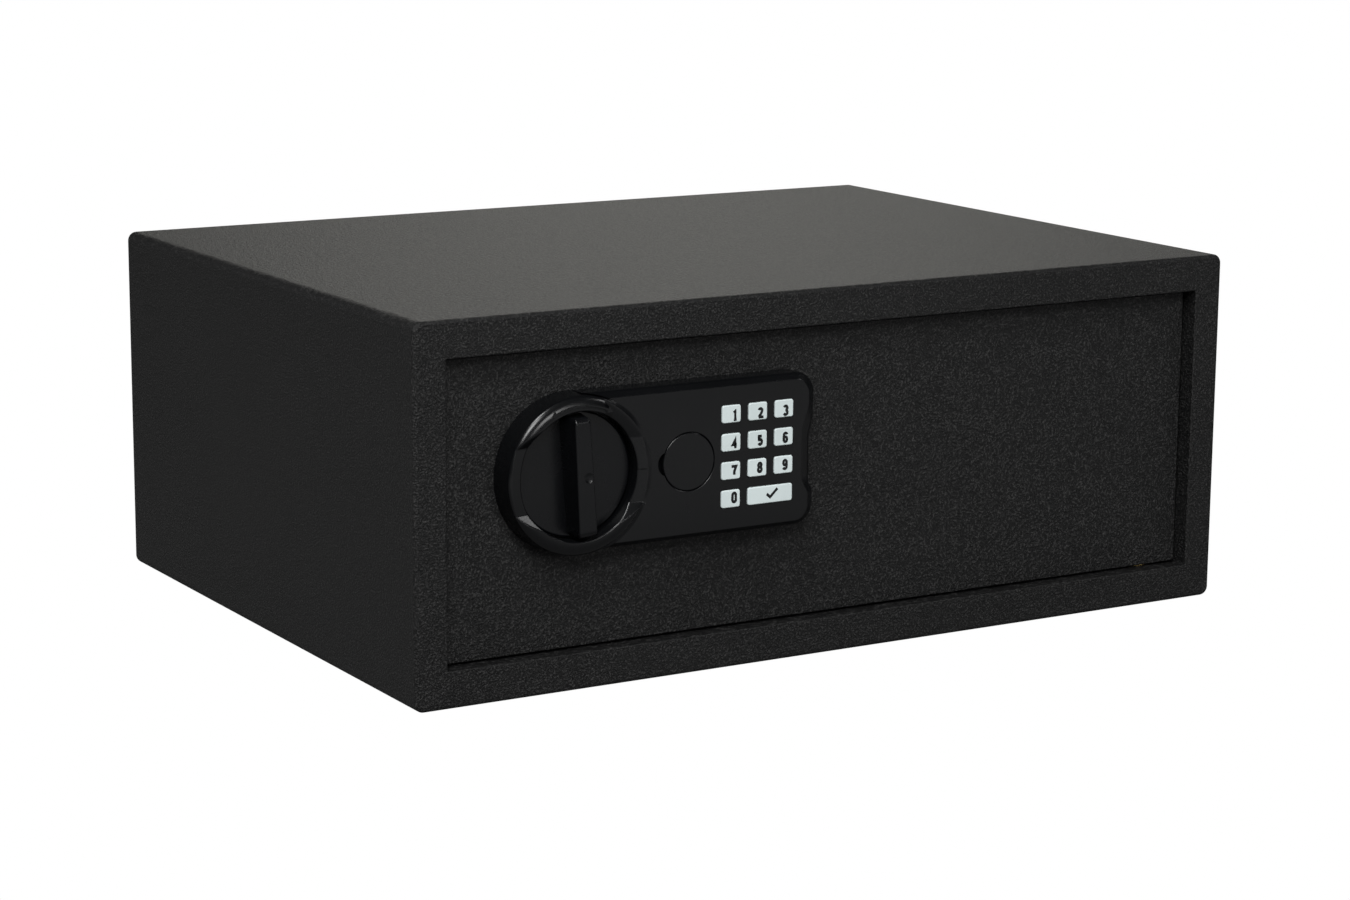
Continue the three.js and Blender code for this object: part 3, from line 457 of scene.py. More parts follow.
# Ring around the knob, with a finger scoop at each side
RING_OUTER = SHAFT.x - PANEL_LOW.x
RING_DRAFT = 0.7 * MM
RING_INNER = 29.6 * MM
RING_INNER_EDGE = 0.7 * MM
RING_STEPS = 720
RING_PROFILE_STEPS = 24
BOWL_DEPTH = 11.2 * MM
BOWL_HOLE = 5.0 * MM
PANEL_STEP = PANEL_FACE - RING_FACE
RING_CROWN = 3.0 * MM
CROWN_START = 30.0 * MM
CROWN_WIDTH = RING_OUTER - RING_DRAFT - CROWN_START
JOINED_TO = 75
JOINED_FADE = 15
SCOOP_START = 12.0 * MM
SCOOP_RIM_DEPTH = 0.8 * MM
SCOOP_SLOPE = 0.25
SCOOP_HALF_WIDTH = 15.0 * MM
SCOOP_RAMP_RUN = 1.6
SCOOP_FOLD = 0.25 * MM
SOFT_RAMP_RUN = 4.0
SOFT_FOLD = 0.9 * MM


def around_knob(angle, radius, y):
    return Vector((SHAFT.x + radius * math.cos(angle), y, SHAFT.z + radius * math.sin(angle)))


def soft_end(angle):
    """The upper right ramp is longer and softer than the other three."""
    return math.cos(angle) > 0 and math.sin(angle) > 0


def scoop(angle, radius):
    """How deep the scoops cut: a flat floor sinking towards the knob, with a straight ramp at both ends."""
    along, across = abs(radius * math.cos(angle)), abs(radius * math.sin(angle))
    if along < SCOOP_START:
        return 0.0
    floor = SCOOP_RIM_DEPTH + SCOOP_SLOPE * (RING_OUTER - RING_DRAFT - along)
    run = SOFT_RAMP_RUN if soft_end(angle) else SCOOP_RAMP_RUN
    ramp_depth = floor - (across - SCOOP_HALF_WIDTH) / run
    return max(0.0, min(floor, ramp_depth))


def crown_limit(angle):
    """How deep the ring's outer rounding goes: less within JOINED_TO degrees of its right, at the panel."""
    off_right = abs(math.degrees(math.remainder(angle, math.tau)))
    joined = min(max((JOINED_TO - off_right) / JOINED_FADE, 0.0), 1.0)
    return RING_CROWN + (PANEL_STEP - RING_CROWN) * joined


def crown(radius):
    """How deep the ring's outer rounding has sunk at a radius."""
    out = min(max((radius - CROWN_START) / CROWN_WIDTH, 0.0), 1.0)
    return RING_CROWN * (1 - math.sqrt(1 - out ** 2))


def ring_depth(angle, radius):
    """Depth of the ring's surface below its raised face, with a small round where the forms fold."""
    one, other = min(crown(radius), crown_limit(angle)), scoop(angle, radius)
    fold = SOFT_FOLD if other and soft_end(angle) else SCOOP_FOLD
    return (one + other + math.hypot(one - other, fold) - fold) / 2


def ring_profile(angle):
    """Radius and depth pairs from the ring's outer foot over its crown to the bowl and its hole."""
    limit = crown_limit(angle)
    start = RING_INNER + RING_INNER_EDGE
    end = CROWN_START + CROWN_WIDTH * math.sqrt(1 - (1 - limit / RING_CROWN) ** 2)
    rim = RING_OUTER - RING_DRAFT * (limit - PANEL_STEP) / (RING_CROWN - PANEL_STEP)
    profile = [(RING_OUTER, DOOR_FACE), (rim, RING_FACE + limit)]
    for k in range(RING_PROFILE_STEPS):
        radius = start + (end - start) * math.cos(math.pi / 2 * k / RING_PROFILE_STEPS)
        profile.append((radius, RING_FACE + ring_depth(angle, radius)))
    for inward, deep in quarter(5):
        radius = RING_INNER + RING_INNER_EDGE * inward
        profile.append((radius, RING_FACE + ring_depth(angle, radius) + RING_INNER_EDGE * deep))
    bowl = RING_FACE + BOWL_DEPTH
    return profile + [(RING_INNER, bowl), (BOWL_HOLE, bowl), (BOWL_HOLE, DOOR_FACE)]


def knob_ring():
    spokes = []
    for i in range(RING_STEPS):
        angle = math.tau * i / RING_STEPS
        spokes.append([around_knob(angle, radius, y) for radius, y in ring_profile(angle)])
    points, faces = skin(spokes, close=True)
    place_piece("knob_ring", points, faces, PANEL, "door", ("panel_housing",), sharp=40.0)


# Curved arrows moulded on the ring's upper face, pointing away from its top
ARROW_RADIUS = 32.2 * MM
ARROW_HALF_WIDTH = 0.35 * MM
ARROW_HEAD_HALF = 1.5 * MM
ARROW_TIP_HALF = 0.02 * MM
ARROW_HEAD_DEGREES = 5
ARROW_STEPS = 16
ARROW_ROOT = 0.2 * MM
ARROW_PROUD = 0.12 * MM


def ring_arrow(name, start, end):
    """A bar bent round the knob from start to end, in degrees, with a head at its end."""
    way = math.copysign(1, end - start)
    neck = end - way * ARROW_HEAD_DEGREES
    steps = range(ARROW_STEPS + 1)
    stations = [(start + (neck - start) * i / ARROW_STEPS, ARROW_HALF_WIDTH) for i in steps]
    stations += [(neck + way * 0.01, ARROW_HEAD_HALF), (end, ARROW_TIP_HALF)]
    low, high = RING_FACE + ARROW_ROOT, RING_FACE - ARROW_PROUD
    loops = []
    for degrees, half in stations:
        inner, outer = ARROW_RADIUS - half, ARROW_RADIUS + half
        section = [(inner, low), (inner, high), (outer, high), (outer, low)]
        loops.append([around_knob(math.radians(degrees), radius, y) for radius, y in section])
    points, faces = skin(loops)
    place_piece(name, points, faces, PANEL, "door", sharp=40.0)


# Panel body: bevelled plate with a waisted right end, and recesses for keys and cap
PANEL_LOWEST = -35.2 * MM
PANEL_HIGHEST = 36.9 * MM
PANEL_CORNER = 10.0 * MM
FACE_CORNER = 6.5 * MM
BEVEL_HEIGHT = 2.9 * MM
BEVEL_RIGHT = 5.4 * MM
BEVEL = [(1, 0), (0.93, 0.08), (0.85, 0.3), (0.3, 2.2), (0.12, 3.0), (0.03, 3.8), (0, 4.6)]
PANEL_WAIST = 2.1 * MM
PANEL_WAIST_SPANS = ((-20, -15), (17, 5))
FACE_WAIST = 3.8 * MM
FACE_WAIST_SPANS = ((-21, -11), (23, 8))
WAIST_STEPS = 64
CORNER_STEPS = 12
EDGE_STOPS = (0 * MM, 40 * MM, 80 * MM)
CAP_SIDES = 128
CAP_GAP = 0.3 * MM
CAP_RECESS = 3.2 * MM
CAP_BRINK = 0.35 * MM
LOCK_HOLE_RADIUS = 9.8 * MM
NOTCH_RADIUS = 5.8 * MM
NOTCH_INSET = 2.8 * MM
CUT_SPARE = 1.0 * MM


def ease(value, start, end):
    """Smooth step from 0 at start to 1 at end."""
    t = min(max((value - start) / (end - start), 0.0), 1.0)
    return t * t * (3 - 2 * t)


def waist(depth, spans, height):
    """How far the right end is drawn in at a height above the shaft; height and spans in millimetres."""
    return depth * ease(height, *spans[0]) * ease(height, *spans[1])


def panel_outline(inward):
    """The panel's outline from lower left to upper left; inward is 0 at its sides and 1 at its face."""
    right = PANEL_HIGH.x - BEVEL_RIGHT * inward
    low = SHAFT.z + PANEL_LOWEST + BEVEL_HEIGHT * inward
    high = SHAFT.z + PANEL_HIGHEST - BEVEL_HEIGHT * inward
    radius = PANEL_CORNER + (FACE_CORNER - PANEL_CORNER) * inward

    def corner(start, centre_z):
        turn = [math.radians(start + 90 * i / CORNER_STEPS) for i in range(CORNER_STEPS + 1)]
        return [(right - radius + radius * math.cos(a), centre_z + radius * math.sin(a)) for a in turn]

    outline = [(SHAFT.x + stop, low) for stop in EDGE_STOPS]
    outline += corner(-90, low + radius)
    span = high - low - 2 * radius
    for i in range(1, WAIST_STEPS):
        z = low + radius + span * i / WAIST_STEPS
        height = (z - SHAFT.z) / MM
        side = waist(PANEL_WAIST, PANEL_WAIST_SPANS, height)
        face = waist(FACE_WAIST, FACE_WAIST_SPANS, height)
        outline.append((right - side - (face - side) * inward, z))
    outline += corner(0, high - radius)
    return outline + [(SHAFT.x + stop, high) for stop in reversed(EDGE_STOPS)]


def flared_cutter(x, z, radius, back, sides):
    """A round cutter from in front of the panel's face to back, that leaves a rounded brink."""
    steps = [(3.5, -2.5)] + quarter(4) + [(0, (back - PANEL_FACE) / CAP_BRINK)]
    return as_cutter(*skin([
        at_depth(circle(x, z, radius + CAP_BRINK * out, sides), PANEL_FACE + CAP_BRINK * deep)
        for out, deep in steps
    ]))


def panel_body():
    loops = [at_depth(panel_outline(inward), PANEL_FACE + deep * MM) for inward, deep in BEVEL]
    loops.append(at_depth(panel_outline(0), DOOR_FACE))
    points, faces = skin(loops)
    body = place_piece("panel_body", points, faces, PANEL, "door", sharp=30.0)
    recess = (PANEL_FACE - CUT_SPARE, PANEL_FACE + CAP_RECESS)
    through = (PANEL_FACE - CUT_SPARE, DOOR_FACE + CUT_SPARE)
    cutters = [
        round_cutter(SHAFT.x, SHAFT.z, RING_OUTER, through, RING_STEPS),
        flared_cutter(CAP_CENTRE.x, CAP_CENTRE.z, CAP_RADIUS + CAP_GAP, recess[1], CAP_SIDES),
        round_cutter(CAP_LOW.x + NOTCH_INSET, CAP_CENTRE.z, NOTCH_RADIUS, recess, 64),
        round_cutter(CAP_CENTRE.x, CAP_CENTRE.z, LOCK_HOLE_RADIUS, through, 64),
    ]
    drill(body, cutters + [key_well(name) for name in KEY_NAMES])


# Keys: soft caps with a digit each
KEY_NAMES = [f"key_{n}" for n in (1, 2, 3, 4, 5, 6, 7, 8, 9, 0)] + ["key_enter"]
KEY_FLANGE = 0.8 * MM
KEY_CORNER = 1.1 * MM
KEY_DRAWN_IN = 0.5 * MM
KEY_SOFT = 0.5 * MM
KEY_GAP = 0.3 * MM
KEY_WELL_DEPTH = 6.0 * MM


def key_body(name):
    return "enter" if name == "key_enter" else name.replace("key_", "digit_")


def key_rect(name, grow=0.0):
    low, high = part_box(name)
    inset = KEY_FLANGE + KEY_DRAWN_IN - grow
    return low[0] + inset, high[0] - inset, low[2] + inset, high[2] - inset


def key_well(name):
    outline = rounded_rect(*key_rect(name, KEY_GAP), KEY_CORNER + KEY_GAP, 5)
    depths = (PANEL_FACE - CUT_SPARE, PANEL_FACE + KEY_WELL_DEPTH)
    return as_cutter(*skin([at_depth(outline, y) for y in depths]))


def key_cap(name):
    low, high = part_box(name)
    x0, x1, z0, z1 = key_rect(name)
    loops = []
    for inward, deep in quarter(6):
        shrink = KEY_SOFT * inward
        outline = rounded_rect(x0 + shrink, x1 - shrink, z0 + shrink, z1 - shrink, KEY_CORNER - shrink)
        loops.append(at_depth(outline, low[1] + KEY_SOFT * deep))
    loops.append(at_depth(rounded_rect(x0, x1, z0, z1, KEY_CORNER), high[1]))
    points, faces = skin(loops)
    place_piece(f"{name}_cap", points, faces, KEY, key_body(name), (name,), sharp=50.0)


# Digits: condensed, with short feet, drawn as strokes in a cell of 2 by 4 units around (0, 0)
DIGIT_UNIT = (1.12 * MM, 1.04 * MM)
STROKE = 1.35 * MM
HAIR = 1.0 * MM
TICK = 1.3 * MM
INK_PROUD = 0.03 * MM
LAYER_PROUD = 0.2
LONGEST_MITRE = 2.0


def arc(cx, cz, rx, rz, start, end, steps=10):
    """Points of an elliptic arc, in degrees."""
    turn = [math.radians(start + (end - start) * i / steps) for i in range(steps + 1)]
    return [(cx + rx * math.cos(a), cz + rz * math.sin(a)) for a in turn]


GLYPHS = {
    "0": [(arc(0, 1.05, 0.8, 0.95, 0, 180) + arc(0, -1.05, 0.8, 0.95, 180, 360) + [(0.8, 1.05)], STROKE)],
    "1": [([(-0.55, 1.35), (0.1, 2.0), (0.1, -2.0)], STROKE),
          ([(-0.6, -1.9), (0.8, -1.9)], HAIR)],
    "2": [(arc(0, 1.1, 0.78, 0.9, 165, -20) + [(0.35, -0.1), (-0.75, -1.75)], STROKE),
          ([(-0.85, -1.8), (0.85, -1.8), (0.85, -1.2)], STROKE)],
    "3": [(arc(-0.05, 1.05, 0.8, 0.9, 160, -75) + [(-0.2, 0.2)], STROKE),
          ([(-0.2, 0.15)] + arc(-0.05, -0.9, 0.85, 1.05, 75, -160), STROKE)],
    "4": [([(0.35, -2.0), (0.35, 2.0), (-0.95, -0.7), (1.0, -0.7)], STROKE),
          ([(-0.25, -1.9), (0.9, -1.9)], HAIR)],
    "5": [([(0.75, 1.8), (-0.6, 1.8), (-0.6, 0.2)] + arc(0.0, -0.75, 0.8, 1.15, 130, -155), STROKE)],
    "6": [(arc(0.05, 1.0, 0.8, 0.95, 20, 180) + [(-0.75, -0.9)], STROKE),
          (arc(0, -0.85, 0.78, 1.1, 180, 540, 20), STROKE)],
    "7": [([(-0.8, 1.2), (-0.8, 1.8), (0.8, 1.8), (0.0, -0.3), (-0.1, -2.0)], STROKE)],
    "8": [(arc(0, 1.0, 0.68, 0.92, -90, 270, 20), STROKE),
          (arc(0, -0.95, 0.8, 1.03, 90, 450, 20), STROKE)],
    "9": [(arc(-0.05, -1.0, 0.8, 0.95, 200, 360) + [(0.75, 0.9)], STROKE),
          (arc(0, 0.85, 0.78, 1.1, 0, 360, 20), STROKE)],
    "check": [([(-2.6, -0.2), (-0.95, -1.75), (2.6, 1.85)], TICK)],
}


def stroke_ribbon(path, width):
    """Left and right edges of a stroke along a path, mitred at its corners."""
    sides = ([], [])
    for i, here in enumerate(path):
        before = path[max(i - 1, 0)]
        after = path[min(i + 1, len(path) - 1)]
        into = (Vector(here) - Vector(before)).normalized() if i else None
        out = (Vector(after) - Vector(here)).normalized() if i < len(path) - 1 else None
        way = (into + out).normalized() if into and out else into or out
        normal = Vector((-way.y, way.x))
        stretch = 1.0
        if into and out:
            stretch = 1 / max(normal.dot(Vector((-out.y, out.x))), 1 / LONGEST_MITRE)
        for side, edge in zip((-1, 1), sides):
            edge.append(Vector(here) + side * stretch * width / 2 * normal)
    return sides


def glyph(name, symbol, centre_x, centre_z, face):
    """Printed strokes that stand a hair proud of the key's face."""
    wide, high = DIGIT_UNIT
    root = face + INK_PROUD
    points, faces = [], []
    for layer, (path, width) in enumerate(GLYPHS[symbol]):
        placed = [(centre_x + x * wide, centre_z + z * high) for x, z in path]
        top = face - INK_PROUD * (1 + LAYER_PROUD * layer)
        join(points, faces, *skin([
            [Vector((one.x, root, one.y)), Vector((one.x, top, one.y)),
             Vector((other.x, top, other.y)), Vector((other.x, root, other.y))]
            for one, other in zip(*stroke_ribbon(placed, width))
        ]))
    place_piece(f"{name}_print", points, faces, INK, key_body(name), sharp=30.0)


# The digits stand on a grid a little tighter than the keys', so they drift across the keys
DIGIT_PITCH = (13.75 * MM, 12.73 * MM)
FIRST_DIGIT_SHIFT = (1.75 * MM, -0.9 * MM)


def key_print(name):
    """The digit of a key, or the tick, which is one and a half columns from the first digit in row four."""
    first_low, first_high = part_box("key_1")
    first_x = (first_low[0] + first_high[0]) / 2 + FIRST_DIGIT_SHIFT[0]
    first_z = (first_low[2] + first_high[2]) / 2 + FIRST_DIGIT_SHIFT[1]
    if name == "key_enter":
        symbol, column, row = "check", 1.5, 3
    else:
        symbol = name.removeprefix("key_")
        column, row = ((int(symbol) - 1) % 3, (int(symbol) - 1) // 3) if symbol != "0" else (0, 3)
    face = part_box(name)[0][1]
    glyph(name, symbol, first_x + column * DIGIT_PITCH[0], first_z - row * DIGIT_PITCH[1], face)


# Knob: disc and grip bar, and the cap over the emergency lock
DIAL_FACE = RING_FACE + 8.0 * MM
DIAL_SOFT = 1.1 * MM
DIAL_SIDES = 180
GRIP_FACE = DIAL_LOW.y
GRIP_HALF_LENGTH = 27.5 * MM
GRIP_LEAN = math.radians(3.5)
GRIP_SOFT = 0.9 * MM
GRIP_SUNK = 0.5 * MM
GRIP_TOP_HALF = 3.9 * MM
GRIP_FOOT_HALF = 4.65 * MM
GRIP_TOP_DRAFT = 2.0 * MM
GRIP_FOOT_DRAFT = 0.5 * MM
GRIP_END_ROUND = 3.0 * MM
GRIP_END_NARROWS = 0.45
GRIP_END_FALLS = 0.9
DIMPLE_RADIUS = 2.4 * MM
DIMPLE_SHIFT = 1.5 * MM
DIMPLE_DEPTH = 0.35 * MM
RIB_PITCH = 1.9 * MM
RIB_PROUD = 0.25 * MM
RIB_REACH = 2.2 * MM
RIB_ROOT = 0.3 * MM
RIB_HALF_WIDTH = 0.25 * RIB_PITCH
CAP_SOFT = 0.5 * MM
CAP_THICKNESS = 1.6 * MM


def leaned(outline):
    """Outline around the shaft, leaned to the left at its top."""
    c, s = math.cos(GRIP_LEAN), math.sin(GRIP_LEAN)
    return [(SHAFT.x + x * c - z * s, SHAFT.z + x * s + z * c) for x, z in outline]


def soft_disc(centre, radius, face, back, soft, sides, steps):
    """Points and faces of a disc whose front edge is rounded by soft."""
    loops = []
    for inward, deep in quarter(steps):
        outline = circle(centre.x, centre.z, radius - soft * inward, sides)
        loops.append(at_depth(outline, face + soft * deep))
    loops.append(at_depth(outline, back))
    return skin(loops)


def knob_disc():
    points, faces = soft_disc(SHAFT, DIAL_RADIUS, DIAL_FACE, DIAL_HIGH.y, DIAL_SOFT, DIAL_SIDES, 6)
    place_piece("knob_disc", points, faces, KNOB, "knob", ("dial",))


def cap_disc():
    face, back = CAP_LOW.y, CAP_LOW.y + CAP_THICKNESS
    points, faces = soft_disc(CAP_CENTRE, CAP_RADIUS, face, back, CAP_SOFT, CAP_SIDES, 5)
    place_piece("cap_disc", points, faces, PANEL, "lock_cap", ("override_cap",))


def grip_half_width(z, depth=0.0):
    """Half the grip's width at a height above the shaft; depth is 0 at its face and 1 at the dial."""
    t = (z + GRIP_HALF_LENGTH) / (2 * GRIP_HALF_LENGTH)
    half = GRIP_FOOT_HALF + (GRIP_TOP_HALF - GRIP_FOOT_HALF) * t
    return half + (GRIP_FOOT_DRAFT + (GRIP_TOP_DRAFT - GRIP_FOOT_DRAFT) * t) * depth


def grip_section(z):
    """The grip's cross-section at a height above the shaft; the ends round over towards the dial."""
    near_end = max(abs(z) - (GRIP_HALF_LENGTH - GRIP_END_ROUND), 0.0)
    fall = GRIP_END_ROUND - math.sqrt(max(GRIP_END_ROUND ** 2 - near_end ** 2, 0.0))
    half = grip_half_width(z) - GRIP_END_NARROWS * fall
    foot = half + (grip_half_width(z, 1.0) - grip_half_width(z))
    face = GRIP_FACE + GRIP_END_FALLS * fall
    base = DIAL_FACE + GRIP_SUNK
    edge = [(half - GRIP_SOFT * inward, face + GRIP_SOFT * deep) for inward, deep in quarter(6)]
    section = [(-foot, base)] + [(-x, y) for x, y in reversed(edge)] + edge + [(foot, base)]
    placed = leaned([(x, z) for x, _ in section])
    return [Vector((px, y, pz)) for (px, pz), (_, y) in zip(placed, section)]


def grip_bar():
    end = GRIP_END_ROUND - GRIP_HALF_LENGTH
    heights = [-GRIP_HALF_LENGTH + GRIP_END_ROUND * (1 - math.cos(math.pi / 2 * i / 8)) for i in range(9)]
    heights += [end * (1 - i / 8) for i in range(1, 9)]
    heights += [-h for h in reversed(heights[:-1])]
    points, faces = skin([grip_section(z) for z in heights])
    grip = place_piece("grip_bar", points, faces, KNOB, "knob")
    ball_radius = (DIMPLE_RADIUS ** 2 + DIMPLE_DEPTH ** 2) / (2 * DIMPLE_DEPTH)
    ball = bmesh.new()
    place = Matrix.Translation((SHAFT.x + DIMPLE_SHIFT, GRIP_FACE + DIMPLE_DEPTH - ball_radius, SHAFT.z))
    bmesh.ops.create_uvsphere(ball, u_segments=64, v_segments=48, radius=ball_radius, matrix=place)
    drill(grip, [ball])


def grip_ribs():
    """Short ribs near the dial on both sides of the grip, tapering towards its face."""
    count = int(2 * (GRIP_HALF_LENGTH - 2 * GRIP_END_ROUND) / RIB_PITCH)
    levels = ((DIAL_FACE + RIB_ROOT, 1.0), (DIAL_FACE - 0.5 * RIB_REACH, 0.8), (DIAL_FACE - RIB_REACH, 0.1))
    points, faces = [], []
    for side in (-1, 1):
        for i in range(count + 1):
            z = (i - count / 2) * RIB_PITCH
            root = side * (grip_half_width(z, 0.75) - RIB_ROOT)
            crest = side * (grip_half_width(z, 1.0) + RIB_PROUD)
            loops = []
            for y, share in levels:
                x = root + (crest - root) * share
                outline = [(root, z - RIB_HALF_WIDTH), (x, z - 0.4 * RIB_HALF_WIDTH),
                           (x, z + 0.4 * RIB_HALF_WIDTH), (root, z + RIB_HALF_WIDTH)]
                loops.append(at_depth(leaned(outline), y))
            join(points, faces, *skin(loops))
    place_piece("grip_ribs", points, faces, KNOB, "knob", sharp=50.0)


# Turned pieces: bolts, hinge pins, cover screws and the reset button
AXES = {"X": (1, 2, 0), "Y": (0, 2, 1), "Z": (0, 1, 2)}


def turned(node, axis, profile, body, slot, sides=64):
    """A round piece in place of a node; the profile is (distance from the low end, radius) pairs."""
    across, up, along = AXES[axis]
    centre, low = middle(node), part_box(node)[0]
    loops = []
    for reach, radius in profile:
        loop = []
        for one, other in circle(centre[across], centre[up], radius, sides):
            point = Vector((0, 0, 0))
            point[across], point[up], point[along] = one, other, low[along] + reach
            loop.append(point)
        loops.append(loop)
    points, faces = skin(loops)
    return place_piece(f"{node}_turned", points, faces, SLOT_LOOKS[slot], body, (node,), sharp=40.0)


def node_length(node, axis):
    low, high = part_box(node)
    return high[axis] - low[axis]


def lock_bolt(node):
    """A round bolt with an eased tip, and a stub where it sits in the carriage."""
    radius, tip = 8.0 * MM, 2.0 * MM
    stub, stub_length = 4.0 * MM, 1.7 * MM
    length = node_length(node, 0)
    turned(node, "X", [
        (0, radius - tip - 0.3 * MM), (0.1 * MM, radius - tip),
        (tip - 0.2 * MM, radius - 0.25 * MM), (tip + 0.3 * MM, radius),
        (length - stub_length, radius), (length - stub_length, stub), (length, stub),
    ], "bolt_work", "steel", 96)


def cover_screw(node):
    """A pan-head screw with a cross recess."""
    shank, head, high, flat = 1.5 * MM, 3.0 * MM, 1.8 * MM, 0.3
    cross_long, cross_wide, cross_deep = 1.7 * MM, 0.35 * MM, 1.0 * MM
    length = node_length(node, 1)
    profile = [(0, shank - 0.3 * MM), (0.3 * MM, shank), (length - high, shank), (length - high, head)]
    for i in range(9):
        angle = math.pi / 2 * i / 8
        level = length - high * (1 - flat - (1 - flat) * math.sin(angle))
        profile.append((level, max(head * math.cos(angle), 0.05 * MM)))
    piece = turned(node, "Y", profile, "door", "steel", 48)
    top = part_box(node)[1][1]
    x, _, z = middle(node)
    for wide, tall in ((cross_long, cross_wide), (cross_wide, cross_long)):
        outline = rounded_rect(x - wide, x + wide, z - tall, z + tall, 0.1 * MM, 2)
        drill(piece, [as_cutter(*skin([at_depth(outline, top + y) for y in (-cross_deep, cross_deep)]))])


def hinge_pin(node):
    radius, edge = 3.0 * MM, 0.5 * MM
    length = node_length(node, 2)
    profile = [(0, radius - edge), (edge, radius), (length - edge, radius), (length, radius - edge)]
    turned(node, "Z", profile, "door", "steel")


def reset_button():
    """A small push button with a collar that keeps it under the cover's sheet."""
    radius, collar, edge = 2.5 * MM, 3.5 * MM, 0.5 * MM
    proud, collar_length = 3.2 * MM, 1.5 * MM
    length = node_length("reset_button", 1)
    shoulder = length - proud
    profile = [(0, radius), (shoulder - collar_length, radius), (shoulder - collar_length, collar),
               (shoulder, collar), (shoulder, radius)]
    profile += [(length - edge * deep, radius - edge * inward) for inward, deep in reversed(quarter(4))]
    turned("reset_button", "Y", profile, "reset", "red_plastic")


# Grip ribs across the battery cover, and softened edges on the flat sheet pieces
COVER_RIBS = 7
COVER_RIB_PITCH = 3.0 * MM
COVER_RIB_START = 8.0 * MM
COVER_RIB_HALF_LENGTH = 14.0 * MM
COVER_RIB_HALF_WIDTH = 0.5 * MM
COVER_RIB_CORNER = 0.45 * MM
COVER_RIB_ROOT = 0.3 * MM
COVER_RIB_SIDE = 0.5 * MM
COVER_RIB_PROUD = 0.8 * MM
COVER_RIB_DRAFT = 0.2 * MM
CREST_CORNER = 0.28 * MM
COVER_GRIP_PROUD = 1.8 * MM
SOFTENED = {
    "door_plate": 0.35 * MM, "door_cover": 0.7 * MM, "battery_cover": 0.5 * MM, "floor_mat": 0.4 * MM,
    "hinge_block_top": 0.5 * MM, "hinge_block_bottom": 0.5 * MM,
}


def battery_ribs():
    low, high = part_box("battery_cover")
    x = middle("battery_cover").x
    face = high[1] - COVER_GRIP_PROUD
    points, faces = [], []

    def outline(z, inset, corner):
        long, wide = COVER_RIB_HALF_LENGTH - inset, COVER_RIB_HALF_WIDTH - inset
        return rounded_rect(x - long, x + long, z - wide, z + wide, corner, 4)

    for i in range(COVER_RIBS):
        z = low[2] + COVER_RIB_START + COVER_RIB_PITCH * i
        foot, crest = outline(z, 0, COVER_RIB_CORNER), outline(z, COVER_RIB_DRAFT, CREST_CORNER)
        levels = ((foot, -COVER_RIB_ROOT), (foot, COVER_RIB_SIDE), (crest, COVER_RIB_PROUD))
        join(points, faces, *skin([at_depth(shape, face + proud) for shape, proud in levels]))
    place_piece("battery_ribs", points, faces, PANEL, "battery_lid", sharp=40.0)


def soften(node, width):
    edge = nodes[node].modifiers.new("soft_edges", "BEVEL")
    edge.width = width
    edge.segments = 3
    edge.limit_method = "ANGLE"
    edge.angle_limit = math.radians(50)
    edge.harden_normals = True


# Stage: white surroundings, soft lamps, and the camera of the photograph
FLOOR_REACH = 1.2
FLOOR_DROP = 0.3 * MM
FLOOR_COLOUR = (0.15, 0.15, 0.15, 1.0)
# Where the floor glows in reflections only: a painted reflection, not a lamp.
REFLECTION_GLOW_START, REFLECTION_GLOW_END, REFLECTION_GLOW_STRENGTH = -0.32, -0.52, 0.34
WORLD_LIGHT, WORLD_SEEN = 0.03, 1.0
SAFE_MIDDLE = (0, 0, 0.1)
PANEL_MIDDLE = (-0.15, -0.17, 0.1)
WHITE = (1.0, 1.0, 1.0)
WARM_WHITE = (1.0, 0.985, 0.93)
# Name, place, target, width, watts, colour
LAMPS = [
    ("back_softbox", (1.0, 1.6, 1.3), SAFE_MIDDLE, 1.6, 13, WARM_WHITE),
    ("front_softbox", (-1.2, -2.4, 1.9), SAFE_MIDDLE, 1.2, 76, WHITE),
    ("low_softbox", (0.45, -2.5, 0.6), PANEL_MIDDLE, 0.6, 12, WHITE),
    ("side_softbox", (1.64, -1.06, 1.39), PANEL_MIDDLE, 0.5, 6, WHITE),
    ("top_softbox", (-0.9, -1.0, 2.0), PANEL_MIDDLE, 0.7, 30, WHITE),
    ("left_softbox", (-2.1, 0.9, 0.9), SAFE_MIDDLE, 1.2, 18, WHITE),
]


